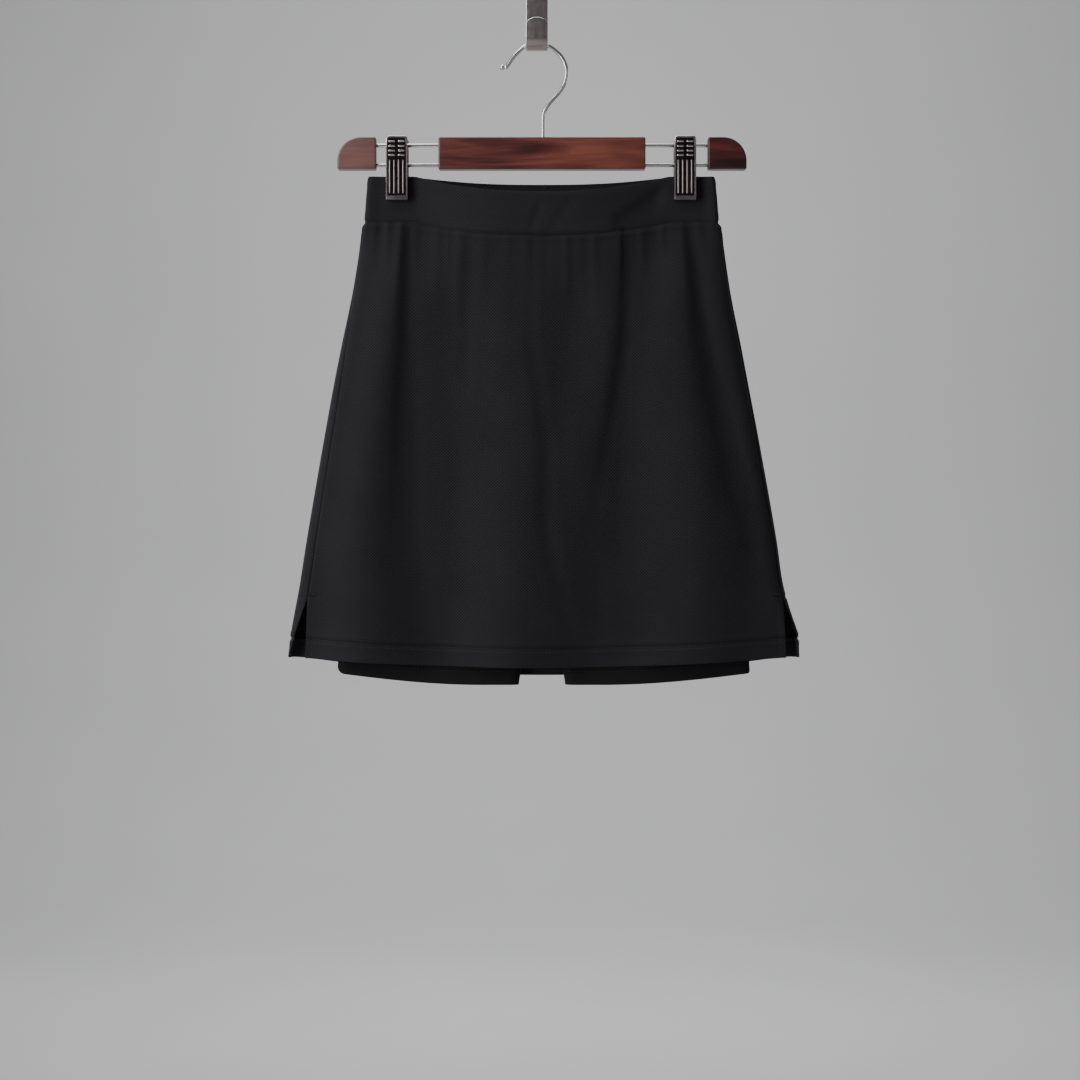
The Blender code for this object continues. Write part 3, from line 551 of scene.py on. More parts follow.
@dataclass(frozen=True)
class WoodFinish:
    """Stained and varnished wood, its grain along X.

    Attributes:
        name: the material's name.
        stops: the stain's colours, from the dark grain to the light.
        turn: how far the figure is moved along for this piece.
        slant: how much the broad figure runs downhill, in radians.
        offset: moves the whole piece along the stops.
    """

    name: str
    stops: Stain
    turn: float
    slant: float = 0.11
    offset: float = -0.37

    def make(self) -> Material:
        """Builds the material.

        Returns:
            The new material.
        """
        shader = Shader(self.name)
        place = shader.place()
        figure = {"Location": (self.turn, 0, 0), "Rotation": (0, self.slant, 0), "Scale": (7.0, 30.0, 62.0)}
        broad = shader.mapped(place, **figure)
        swirl = shader.node("TexNoise", Vector=broad, Scale=1.0, Detail=2.0, Distortion=1.3)
        close = shader.mapped(place, Rotation=(0, 0.6 * self.slant, 0), Scale=(9.0, 130.0, 330.0))
        bent = shader.node("VectorMath", {"operation": "MULTIPLY_ADD"})
        for target, value in zip(bent.inputs, (swirl.outputs["Color"], (0.4, 0.4, 7.0), close)):
            shader.feed(target, value)
        grain = shader.noise(bent.outputs[0], Scale=1.0, Detail=4.0, Roughness=0.6)
        pores = shader.noise(shader.mapped(place, Scale=(60.0, 1500.0, 1500.0)), Scale=1.0, Detail=2.0)
        share = shader.weigh((swirl.outputs["Fac"], 1.30), (grain, 0.34), (pores, 0.10), start=self.offset)
        shader.bump(shader.maths("ADD", pores, grain), 0.06 * MM, 0.6)
        colour = shader.ramp(share, self.stops)
        return shader.set(Base_Color=colour, Roughness=0.40, Coat_Weight=0.3, Coat_Roughness=0.15)


@dataclass(frozen=True)
class MetalFinish:
    """Plated or bare metal.

    Attributes:
        name: the material's name.
        colour: of the metal.
        roughness: at its smoothest and where it is scuffed or brushed.
        grain: how fine the marks are along X, Y and Z, each metre.
        relief: how deep they are, in mm.
    """

    name: str
    colour: Colour
    roughness: tuple[float, float]
    grain: tuple[float, float, float]
    relief: float

    def make(self) -> Material:
        """Builds the material.

        Returns:
            The new material.
        """
        shader = Shader(self.name)
        place = shader.place()
        brush = shader.noise(shader.mapped(place, Scale=self.grain), Scale=1.0, Detail=4.0, Roughness=0.6)
        wear = shader.noise(place, Scale=240.0, Detail=3.0)
        smooth, wear_and_highlight = self.roughness
        gloss = shader.weigh((shader.maths("MULTIPLY", brush, wear), 2 * (wear_and_highlight - smooth)), start=smooth)
        duller = tuple(0.72 * channel for channel in self.colour)
        shader.bump(brush, self.relief * MM)
        return shader.set(Base_Color=shader.blend(brush, duller, self.colour), Metallic=1.0, Roughness=gloss)


# ---------------------------------------------------------------- the cloth's form


SKIRT_REACHES = Table(
    REACHES,
    (
        (0, 149.0, 148.0, 3.4, 3.4, 3.6),
        (20, 150.9, 150.2, 3.45, 3.45, 3.6),
        (36, 151.9, 151.2, 3.5, 3.5, 3.6),
        (39, 152.1, 151.4, 3.5, 3.5, 3.6),
        (44, 153.8, 153.4, 4.6, 3.8, 4.2),
        (60, 156.2, 155.8, 7.0, 4.8, 7.0),
        (100, 162.6, 161.7, 9.2, 5.8, 10.0),
        (145, 171.9, 170.5, 9.4, 6.2, 12.0),
        (230, 187.8, 186.5, 9.4, 6.2, 13.0),
        (312, 201.6, 201.0, 9.4, 6.2, 13.0),
        (354, 208.2, 207.6, 9.4, 6.2, 13.0),
        (375, 212.2, 214.0, 9.4, 6.2, 13.0),
        (389, 214.7, 218.8, 9.4, 6.2, 13.0),
        (411, 217.5, 220.6, 9.4, 6.2, 13.0),
    ),
)
SHORTS_REACHES = Table(
    REACHES,
    (
        (39, 149.8, 150.4, 2.0, 2.0, 2.5),
        (60, 152.2, 151.6, 5.0, 3.2, 4.0),
        (100, 156.0, 154.6, 6.8, 3.8, 6.0),
        (230, 165.0, 166.5, 7.0, 3.8, 6.0),
        (340, 171.0, 173.2, 6.8, 3.8, 6.0),
        (424.7, 175.0, 178.0, 6.0, 3.4, 6.0),
    ),
)
SEAM_INSETS = Table(
    ("drop", "left", "right"),
    ((39, 1.0, 1.0), (100, 1.2, 1.0), (146, 4.8, 1.2), (195, 6.8, 1.8), (250, 7.8, 3.0), (361, 9.3, 3.6)),
)
SAGS = Table(
    ("drop", "front", "back", "half_span", "power"),
    (
        (0, 14.0, 5.6, 110, 2.4), (39, 12.2, 5.6, 112, 2.4), (120, 11.0, 7.0, 150, 2.2),
        (411, 8.5, 16.0, 214, 2.0),
    ),
)
RIDGES = {
    Face.FRONT: (
        ridge(
            (42, -123.0, 22, 13, 1.0), (58, -123.5, 26, 14, 2.8), (131, -131.5, 32, 25, 6.8),
            (217, -142.0, 40, 36, 9.0), (302, -151.0, 44, 50, 11.0), (411, -153.0, 48, 70, 12.0),
        ),
        ridge(
            (42, -23, 54, 60, 0.0), (131, -19, 60, 66, 6.0), (217, -17, 63, 68, 8.5),
            (302, -22, 62, 72, 10.5), (411, -23, 66, 78, 12.0),
        ),
        ridge(
            (42, 66, 20, 12, 0.4), (58, 63, 26, 15, 1.6), (131, 56, 40, 22, 4.6),
            (217, 42, 38, 28, 4.6), (302, 33, 36, 36, 2.4), (411, 28, 36, 36, 0.0),
        ),
        ridge(
            (42, 114, 20, 12, 0.9), (58, 116, 26, 14, 2.6), (131, 121, 44, 22, 7.0),
            (217, 128, 58, 38, 9.0), (302, 136, 72, 56, 10.0), (411, 136, 74, 66, 10.0),
        ),
        ridge(
            (42, 137, 9, 9, 0.6), (131, 152, 12, 13, 1.1), (217, 171, 14, 14, 0.6),
            (302, 190, 16, 12, 0.4), (411, 192, 22, 22, 0.6),
        ),
    ),
    Face.BACK: (
        ridge((42, -118, 16, 18, 0.4), (131, -122, 34, 40, 2.4), (411, -140, 52, 60, 3.2)),
        ridge((42, 12, 60, 60, 0.0), (131, 8, 70, 62, 2.4), (411, -12, 74, 70, 3.2)),
        ridge((42, 118, 18, 16, 0.4), (131, 112, 36, 34, 2.4), (411, 128, 58, 60, 3.2)),
    ),
}
CREASES = {
    Face.FRONT: (
        crease(
            (42, -115, 0.0, 5), (70, -115, 0.3, 7), (129, -116, 0.7, 9), (213, -121, 0.5, 10),
            (300, -119, 0.0, 12),
        ),
        crease((42, -62, 0.0, 8), (58, -62, 0.5, 9), (120, -63, 0.6, 11), (230, -66, 0.0, 12)),
        crease(
            (60, -12.8, 0.0, 9), (129, -9.4, 0.5, 10), (213, 2.6, 0.8, 11), (297, 5.6, 0.9, 12),
            (396, 26.5, 0.3, 14),
        ),
        crease(
            (42, 74, 0.0, 5), (70, 72, 0.3, 7), (129, 70.5, 0.8, 9), (213, 57, 0.7, 10), (320, 38, 0.0, 12)
        ),
        crease((42, 123, 0.0, 5), (129, 136, 0.2, 9), (213, 150, 0.4, 10), (330, 182, 0.3, 10)),
    ),
    Face.BACK: (
        crease((42, -96, 0.0, 5), (60, -97, 0.8, 7), (160, -102, 0.6, 9), (300, -108, 0.0, 12)),
        crease((42, -22, 0.0, 5), (70, -21, 0.7, 7), (190, -14, 0.7, 9), (380, -6, 0.2, 12)),
        crease((42, 58, 0.0, 5), (62, 59, 0.9, 6), (150, 66, 0.8, 9), (330, 84, 0.0, 12)),
        crease((42, 106, 0.0, 5), (60, 108, 0.8, 6), (140, 118, 0.7, 9), (320, 148, 0.0, 12)),
    ),
}
# Small gathers under the waistband: each one's place, height, half width and length.
GATHERS = {
    Face.FRONT: (
        (-143.0, 0.7, 4.6, 40), (-131.5, 0.8, 4.6, 40), (-120.2, 1.1, 5.2, 90), (-107.5, 0.5, 5.0, 60),
        (-88.8, 0.5, 6.0, 70), (-70.0, 0.8, 6.5, 90), (-49.5, 0.4, 6.0, 55), (-30.0, 0.3, 6.0, 45),
        (-13.5, 0.4, 6.0, 90), (8.0, 0.3, 5.4, 55), (20.5, 0.6, 5.0, 70), (32.0, 0.3, 4.4, 50),
        (44.0, 0.7, 5.4, 70), (66.5, 0.6, 7.0, 80), (84.6, 0.8, 5.0, 42), (102.2, 0.8, 4.4, 34),
        (120.0, 0.9, 5.2, 80), (134.0, 0.5, 4.8, 45), (145.0, 0.5, 4.2, 35),
    ),
    Face.BACK: (
        (-136, 0.8, 4.6, 45), (-112, 1.0, 5.2, 70), (-84, 0.9, 5.4, 60), (-58, 1.0, 5.4, 55),
        (-31, 0.8, 5.2, 50), (-9, 1.0, 5.0, 65), (17, 0.8, 5.2, 50), (44, 1.0, 5.4, 60),
        (71, 0.9, 5.2, 55), (97, 1.0, 5.0, 60), (118, 0.9, 4.8, 70), (138, 0.8, 4.2, 40),
    ),
}
# Pulls across the waistband: each one's upper end, lower end, depth, and width on its left and right.
PULLS = (
    ((115.0, 7.5), (68.0, 30.0), 1.8, 12.0, 22.0),
    ((-4.0, 14.0), (-9.0, 34.0), 0.6, 4.5, 8.0),
    ((22.0, 12.0), (5.0, 38.0), 0.4, 6.0, 9.0),
)


@dataclass(frozen=True)
class SkortForm:
    """The hanging form of the cloth, in mm, by the drop below the waistband's top corners.

    Distances across are from the garment's middle, towards the viewer's right. Depths are from the hanging
    plane to the cloth's outer face, on either side of it. A pair of values is for the left and the right,
    unless it is said to be something else.

    Attributes:
        centre: the garment's middle at its top corners, in the hanging plane, in the frame.
        slit_drift: how far the front's slit edges drift in by the hem.
        slit_curl: how far in the back's slit edges end.
        curl_rate: how soon they get there.
        sag_ease: how softly a row's sag begins at its ends.
        pinch: the waistband's depth in the clips.
        bulge: how far it stands out between them, in front and behind.
        bulge_taper: how much less in front for each mm down.
        band_spring: how far it springs open past the clips, and how far that reaches.
        seam_pull: how strongly its seam is pulled in, at least, more in the middle, and how far that reaches.
        skirt_ease: how far below the waistband the skirt has taken its own form; shorts_ease the same.
        shorts_room: how much room the shorts have, and how far below the waistband they have all of it.
        hem_room: where they begin to clear the skirt's thick hem, and how far below they do.
        steepest: the steepest slope across that they are moved clear of.
        gather_spread: how far down a gather has doubled its width; gather_drift is how far it moves out.
        leg_sag: how far a leg's inner edge hangs down.
        leg_corner: how round a leg's outer corner is.
    """

    centre: Vector = field(default_factory=lambda: Vector((4.3, -11.5, -149.9)))
    body: Table = SKIRT_REACHES
    shorts: Table = SHORTS_REACHES
    band_wall: float = 2.6
    skirt_wall: float = 1.2
    shorts_wall: float = 1.0
    hem_wall: float = 2.2
    band_drop: float = 39.0
    skirt_top: float = 39.03
    skirt_hem: float = 411.0
    hem_depth: float = 16.0
    slit_top: float = 361.0
    slit_drift: Row = (-1.7, -2.3)
    slit_curl: float = 0.9
    curl_rate: Row = (1.0, 3.0)
    sag_ease: float = 0.1
    pinch: float = 2.75
    clip_span: float = 108.0
    bulge: Row = (9.6, 3.2)
    bulge_taper: float = 0.02
    bulge_power: float = 1.9
    band_reach: float = 148.0
    band_spring: Row = (0.95, 12.0)
    seam_pull: Row = (0.55, 0.75, 125.0)
    skirt_ease: float = 75.0
    shorts_ease: float = 60.0
    shorts_room: Row = (0.9, 20.0)
    hem_room: Row = (340.0, 40.0)
    steepest: float = 1.8
    gather_spread: float = 160.0
    gather_drift: float = 0.08
    shorts_hem: float = 424.7
    crotch_drop: float = 322.0
    crotch_round: float = 24.0
    leg_gap: float = 39.4
    leg_end: float = 8.0
    leg_sag: float = 10.0
    leg_corner: Row = (6.0, 2.0)

    def reach(self, side: Side, drop: float, kind: str = "body") -> float:
        """How far the skirt, or the shorts, reach to a side at a drop."""
        return getattr(self, kind).read(side.word, drop)

    def seam_inset(self, side: Side, drop: float) -> float:
        """How far in from the skirt's edge its side seam lies, on its front."""
        return SEAM_INSETS.read(side.word, drop)

    def front_edge_inset(self, side: Side, drop: float) -> float:
        """How far in the front panel's edge lies: at the seam, and below it nearly straight down."""
        if drop <= self.slit_top:
            return self.seam_inset(side, drop)
        share = (drop - self.slit_top) / (self.skirt_hem - self.slit_top)
        flare = self.reach(side, drop) - self.reach(side, self.slit_top)
        drift = self.slit_drift[side is Side.RIGHT]
        return self.seam_inset(side, self.slit_top) + flare + drift * share

    def back_edge_inset(self, side: Side, drop: float) -> float:
        """How far in the back panel's edge lies: at the seam, then curling out to the skirt's very edge."""
        rate = self.curl_rate[side is Side.RIGHT]
        share = float(np.clip(rate * (drop - self.slit_top) / (self.skirt_hem - self.slit_top), 0.0, 1.0))
        return self.seam_inset(side, drop) * (1 - share) + self.slit_curl * share

    def sag(self, x: np.ndarray, face: Face, drop: float) -> np.ndarray:
        """How far a row hangs below its ends, at places across it."""
        half_span, power, most = (SAGS.read(column, drop) for column in ("half_span", "power", face.word))
        free = np.clip(1.0 - np.abs(x / half_span) ** power, 0.0, None)
        return most * (1.0 + self.sag_ease) * free**2 / (free + self.sag_ease)

    def folds(self, x: np.ndarray, face: Face, drop: float) -> np.ndarray:
        """The summed height of the long ridges and of the small gathers under the waistband."""
        total = np.zeros_like(x)
        for table in RIDGES[face]:
            offset = x - table.read("crest", drop)
            width = np.where(offset < 0, table.read("rise", drop), table.read("fall", drop))
            total += table.read("height", drop) * bell(offset / width)
        below = drop - self.band_drop - GAP
        widening = below / self.gather_spread
        for place, height, half_width, length in GATHERS[face]:
            fade = smoothstep(1.0 - below / (1.5 * length)) ** 1.5 * smoothstep(0.5 + below / 4.0)
            offset = x - place * (1 + widening * self.gather_drift)
            total += height * fade * bell(offset / (half_width * (1 + widening)))
        return total

    def seam_depth(self, x: np.ndarray) -> np.ndarray:
        """How strongly the waistband's seam is pulled in: most in the middle."""
        least, more, reach = self.seam_pull
        return least + more * bell(x / reach)

    def band_depth(self, x: np.ndarray, face: Face, drop: float) -> np.ndarray:
        """The waistband's depth: pinched at the clips, bulging between them, sprung open past them."""
        front = face is Face.FRONT
        bulge = self.bulge[0] - self.bulge_taper * drop if front else self.bulge[1]
        free = np.clip(1.0 - np.abs(x / self.clip_span) ** self.bulge_power, 0.0, None)
        spring, reach = self.band_spring
        depth = self.pinch + bulge * smoothstep(free * 1.05)
        depth += spring * bell((np.abs(x) - self.band_reach) / reach)
        for start, end, dip, near, far in PULLS if front else ():
            away, right = distance(x, drop, start, end)
            depth -= dip * bell(away / np.where(right, far, near)) * smoothstep(free * 5.0)
        return depth

    def skirt_depth(self, x: np.ndarray, face: Face, drop: float) -> np.ndarray:
        """The skirt's depth: the waistband's at its top, then its own, with its folds."""
        band = self.band_depth(x, face, self.band_drop)
        free = smoothstep((drop - self.band_drop) / self.skirt_ease)
        return band * (1 - free) + self.body.read(face.word, drop) * free + self.folds(x, face, drop)

    def shorts_depth(self, x: np.ndarray, face: Face, drop: float) -> np.ndarray:
        """The shorts' depth, always clear of the skirt's inner face."""
        below = drop - self.band_drop
        free = smoothstep(below / self.shorts_ease)
        band = self.band_depth(x, face, self.band_drop) - self.skirt_wall - GAP
        own = band * (1 - free) + self.shorts.read(face.word, drop) * free
        (room, ease), (hem_start, hem_ease) = self.shorts_room, self.hem_room
        clear = self.skirt_wall + GAP + room * smoothstep(below / ease)
        clear += (self.hem_wall - self.skirt_wall) * smoothstep((drop - hem_start) / hem_ease)
        skirt = self.skirt_depth(x, face, min(drop, self.skirt_hem)) * self.closure(x, drop)
        slope = np.minimum(np.hypot(1.0, np.gradient(skirt, x)), self.steepest)
        own -= (self.skirt_wall + GAP) * (slope - 1) * (1 - free)
        return np.maximum(np.minimum(own, skirt - clear * slope), 0.0)

    def closure(self, x: np.ndarray, drop: float, kind: str = "body") -> np.ndarray:
        """1 over most of a ring of the skirt or the shorts, falling to 0 round its two ends."""
        reach = np.where(x < 0, self.reach(Side.LEFT, drop, kind), self.reach(Side.RIGHT, drop, kind))
        length = getattr(self, kind).read("end", drop)
        return np.sqrt(1.0 - np.clip((np.abs(x) - reach + length) / length, 0.0, 1.0) ** 2)

    def leg_inside(self, drop: float) -> float:
        """From the middle to a leg's inner edge: nothing above the crotch, half the gap at the leg's hem."""
        below = max(0.0, (drop - self.crotch_drop) / (self.shorts_hem - self.crotch_drop))
        return GAP / 2 + (self.leg_gap - GAP) / 2 * below**0.75

    def crotch_closure(self, x: np.ndarray, drop: float) -> np.ndarray:
        """1 above the crotch, and below it a leg's inner edge falls to 0."""
        above = float(np.clip((drop - self.crotch_drop + self.crotch_round) / self.crotch_round, 0.0, 1.0))
        still_open = math.sqrt(1.0 - above**2)
        past = np.clip(1.0 - (np.abs(x) - self.leg_inside(drop)) / self.leg_end, 0.0, 1.0)
        return still_open + (1 - still_open) * np.sqrt(1.0 - past**2)

    def place(self, points: np.ndarray) -> np.ndarray:
        """From the cloth's own mm to metres in the frame."""
        return (points + np.array(self.centre)) * MM


def distance(x: np.ndarray, drop: float, start: Row, end: Row) -> tuple[np.ndarray, np.ndarray]:
    """From places on one row to the straight line between two points of the flat cloth.

    Args:
        x: the places across.
        drop: the row's drop.
        start: the line's upper end.
        end: its lower end.

    Returns:
        How far off each place is, and whether it lies to the right of the line.
    """
    along = np.array(end) - np.array(start)
    t = np.clip(((x - start[0]) * along[0] + (drop - start[1]) * along[1]) / (along @ along), 0.0, 1.0)
    aside, below = x - start[0] - t * along[0], drop - start[1] - t * along[1]
    return np.hypot(aside, below), aside > 0


class Ring:
    """The closed outline in plan of a cloth tube at one drop, from its left end round the front."""

    fineness = 1200

    def __init__(self, form: SkortForm, drop: float, depth: Depth) -> None:
        """Works the outline out.

        Args:
            form: the cloth's form.
            drop: the ring's drop.
            depth: the depth of the cloth at places across, on a face, at a drop.
        """
        self.form, self.drop = form, drop
        across = -np.cos(np.linspace(0.0, math.pi, self.fineness))
        x = across * np.where(across < 0, form.reach(Side.LEFT, drop), form.reach(Side.RIGHT, drop))
        closing = form.closure(x, drop)
        ahead, behind = (
            np.column_stack([x, face.value * depth(x, face, drop) * closing])[:: -face.value] for face in Face
        )
        self.points = np.vstack([ahead, behind[1:]])
        self.lengths = np.concatenate([[0.0], np.cumsum(np.hypot(*np.diff(self.points, axis=0).T))])
        self.front_length = float(self.lengths[self.fineness - 1])
        self.total = float(self.lengths[-1])

    def front_at(self, x: float) -> float:
        """The length along the ring at which its front passes a place across."""
        return float(np.interp(x, self.points[: self.fineness, 0], self.lengths[: self.fineness]))

    def row(self, places: np.ndarray) -> np.ndarray:
        """The hanging points at lengths along the ring."""
        places = np.mod(places, self.total)
        x, y = (np.interp(places, self.lengths, self.points[:, axis]) for axis in (0, 1))
        ahead = places <= self.front_length
        sag = np.where(ahead, self.form.sag(x, Face.FRONT, self.drop), self.form.sag(x, Face.BACK, self.drop))
        return np.column_stack([x, y, -self.drop - sag])


def spread(start: float, end: float, count: int, dense: Iterable[tuple[float, float, float]]) -> np.ndarray:
    """Values from a start to an end that lie closer together near some places.

    Args:
        start: the first value.
        end: the last one.
        count: how many there are.
        dense: each such place, how much closer they lie there, and over which reach.

    Returns:
        The values.
    """
    fine = np.linspace(start, end, 30 * count)
    density = np.ones_like(fine)
    for place, more, reach in dense:
        density += more * bell((fine - place) / reach)
    share = np.concatenate([[0.0], np.cumsum(0.5 * (density[1:] + density[:-1]))])
    return np.interp(np.linspace(0.0, share[-1], count), share, fine)


# ---------------------------------------------------------------- sheets of cloth


@dataclass
class Sheet:
    """A grid of points on the outer face of one piece of cloth.

    Attributes:
        points: the points, row by row from the top, each row running to the right as seen from outside.
        drops: each row's drop.
        along: each point's length along its row from the piece's middle line, in mm.
        edges: each point's length along its row from the row's nearer end, in mm.
    """

    points: np.ndarray
    drops: np.ndarray
    along: np.ndarray
    edges: np.ndarray = field(init=False)

    def __post_init__(self) -> None:
        """Works out how far each point is from the sides."""
        self.edges = np.minimum(self.along - self.along[:, :1], self.along[:, -1:] - self.along)

    def normals(self) -> np.ndarray:
        """The outward direction at each point."""
        down = np.gradient(self.points, axis=0)
        across = np.gradient(self.points, axis=1)
        normal = np.cross(down, across)
        return normal / np.linalg.norm(normal, axis=2, keepdims=True)

    def raise_by(self, height: np.ndarray) -> None:
        """Moves each point out by its own height, in mm, and keeps the top and bottom rows at their drops."""
        ends = self.points[[0, -1], :, 2]
        self.points = self.points + self.normals() * height[..., None]
        self.points[[0, -1], :, 2] = ends

    def row_at(self, drop: float) -> tuple[np.ndarray, np.ndarray]:
        """The points along one row and their outward directions."""
        normals = self.normals()
        row = int(np.argmin(np.abs(self.drops - drop)))
        return self.points[row], normals[row]

    def column_at(self, inset: float, side: Side, top: float) -> tuple[np.ndarray, np.ndarray]:
        """The points down a line at an inset from a side, from a drop down, and their outward directions."""
        normals = self.normals()
        chosen = np.flatnonzero(self.drops >= top)
        points, outward = [], []
        for row in chosen:
            lengths = self.along[row] - self.along[row, 0]
            place = inset if side is Side.LEFT else lengths[-1] - inset
            points.append([np.interp(place, lengths, self.points[row, :, axis]) for axis in range(3)])
            outward.append([np.interp(place, lengths, normals[row, :, axis]) for axis in range(3)])
        return np.array(points), np.array(outward)

    def build(self, name: str, form: SkortForm, wall: Callable[[np.ndarray], np.ndarray]) -> Object:
        """Makes the piece: a grid laid on the points, given its thickness and its weave map.

        Args:
            name: the piece's name.
            form: the cloth's form, which places it.
            wall: its thickness at each row's drop, in mm.

        Returns:
            The new piece.
        """
        rows, columns = self.points.shape[:2]
        deselect()
        bpy.ops.mesh.primitive_grid_add(x_subdivisions=columns - 1, y_subdivisions=rows - 1, size=2.0)
        piece = take(name)
        mesh = piece.data
        flat = np.empty(len(mesh.vertices) * 3, np.float32)
        mesh.vertices.foreach_get("co", flat)
        flat = flat.reshape(-1, 3)
        column = np.rint((flat[:, 0] + 1) / 2 * (columns - 1)).astype(int)
        row = np.rint((1 - flat[:, 1]) / 2 * (rows - 1)).astype(int)
        placed = form.place(self.points)[row, column].astype(np.float32)
        mesh.vertices.foreach_set("co", placed.reshape(-1))
        corner = np.empty(len(mesh.loops), np.int32)
        mesh.loops.foreach_get("vertex_index", corner)
        weave = np.column_stack([self.along[row, column], self.drops[row]])[corner]
        mesh.uv_layers[0].name = WEAVE_MAP
        mesh.uv_layers[0].uv.foreach_set("vector", weave.astype(np.float32).reshape(-1))
        walls = wall(self.drops)
        thickest = float(walls.max())
        group = piece.vertex_groups.new(name="thickness")
        for index in range(rows):
            members = np.flatnonzero(row == index).tolist()
            group.add(members, float(walls[index] / thickest), "REPLACE")
        mesh.update()
        modify(
            piece,
            "SOLIDIFY",
            thickness=thickest * MM,
            offset=-1.0,
            vertex_group=group.name,
            use_even_offset=False,
            use_quality_normals=True,
        )
        round_edges(piece, 0.28 * MM, 2, 60.0)
        shade(piece, 40.0)
        return piece


@dataclass(frozen=True)
class Stitching:
    """Rows of lock stitches: short plump threads that dip into the cloth at both ends.

    Attributes:
        length: of one stitch, in mm.
        pitch: from stitch to stitch.
        width: of the thread.
        rise: how far its middle stands off the cloth.
    """

    length: float = 2.5
    pitch: float = 3.0
    width: float = 0.46
    rise: float = 0.03

    def thread(self) -> tuple[np.ndarray, np.ndarray]:
        """One stitch along X as points and faces, from a small ball drawn out."""
        deselect()
        lying = (0, math.pi / 2, 0)
        bpy.ops.mesh.primitive_uv_sphere_add(segments=6, ring_count=6, radius=0.5, rotation=lying)
        ball = take("stitch")
        points = np.array([vert.co for vert in ball.data.vertices]) * (self.length, self.width, self.width)
        points[:, 2] -= 0.35 * self.width * (2 * points[:, 0] / self.length) ** 2
        faces = [list(polygon.vertices) for polygon in ball.data.polygons]
        bpy.data.objects.remove(ball)
        return points, faces

    def along(self, path: np.ndarray, outward: np.ndarray, skip: float = 0.0) -> list[np.ndarray]:
        """Where each stitch of one row lies.

        Args:
            path: points along the row, in mm.
            outward: the cloth's outward direction at each.
            skip: how much of the row's two ends stays bare.

        Returns:
            For each stitch, its place, its way along, its way across and its way out, as rows of a 4 by 3.
        """
        lengths = np.concatenate([[0.0], np.cumsum(np.linalg.norm(np.diff(path, axis=0), axis=1))])
        middles = np.arange(skip + self.pitch / 2, lengths[-1] - skip, self.pitch)
        frames = []
        for middle in middles:
            ends = [np.array([np.interp(middle + s, lengths, path[:, i]) for i in range(3)]) for s in (-1, 1)]
            out = np.array([np.interp(middle, lengths, outward[:, i]) for i in range(3)])
            way = (ends[1] - ends[0]) / np.linalg.norm(ends[1] - ends[0])
            out -= way * (out @ way)
            out /= np.linalg.norm(out)
            frames.append(np.array([(ends[0] + ends[1]) / 2 + out * self.rise, way, np.cross(out, way), out]))
        return frames

    def build(self, name: str, form: SkortForm, frames: Sequence[np.ndarray]) -> Object:
        """Makes one piece of all the stitches of some rows."""
        points, faces = self.thread()
        placed = np.vstack([frame[0] + points @ frame[1:] for frame in frames])
        count = len(points)
        corners = [[index + n * count for index in face] for n in range(len(frames)) for face in faces]
        mesh = bpy.data.meshes.new(name)
        mesh.from_pydata(form.place(placed).tolist(), [], corners)
        mesh.update()
        piece = bpy.data.objects.new(name, mesh)
        bpy.context.scene.collection.objects.link(piece)
        shade(piece, 60.0)
        return piece


def stretches(*parts: tuple[float, float, float]) -> np.ndarray:
    """Values over stretches that meet end to end, each from its start to its end at about its own step."""
    values = [np.array([parts[0][0]])]
    for start, end, step in parts:
        count = max(1, round((end - start) / step))
        values.append(np.linspace(start, end, count + 1)[1:])
    return np.concatenate(values)


def creased(creases: Iterable[Table], x: np.ndarray, drops: np.ndarray) -> np.ndarray:
    """The summed height of creases that run down the cloth.

    Args:
        creases: the creases.
        x: the places across, row by row.
        drops: each row's drop.

    Returns:
        The height at each place, below 0 in a trough.
    """
    total = np.zeros_like(x)
    for table in creases:
        first, last = table.rows[0][0], table.rows[-1][0]
        for row, drop in enumerate(drops):
            if first <= drop <= last:
                offset = x[row] - table.read("place", drop)
                total[row] -= table.read("depth", drop) * bell(offset / table.read("half_width", drop))
    return total


def ripples(x: np.ndarray, drops: np.ndarray, phase: float, size: float) -> np.ndarray:
    """Low uneven waves that run down the cloth, so that no stretch of it is quite smooth.

    Args:
        x: the places across, row by row, in mm.
        drops: each row's drop.
        phase: moves the waves, so that no two pieces have the same.
        size: about how high they are.

    Returns:
        The height at each place.
    """
    down = drops[:, None]
    wander = 5.0 * np.sin(down / 61.0 + phase) + 3.0 * np.sin(down / 27.0 + 2.0 * phase)
    first = np.sin((x + wander) / 5.3 + phase) * np.sin(down / 83.0 + 0.02 * x + phase)
    second = np.sin((x - 1.4 * wander) / 8.9 + 3.1 * phase) * np.sin(down / 118.0 - 0.013 * x + 1.7 * phase)
    third = np.sin((x + 0.5 * wander) / 17.0 + 0.7 * phase)
    return size * (0.35 * first + 0.45 * second + 0.4 * third)


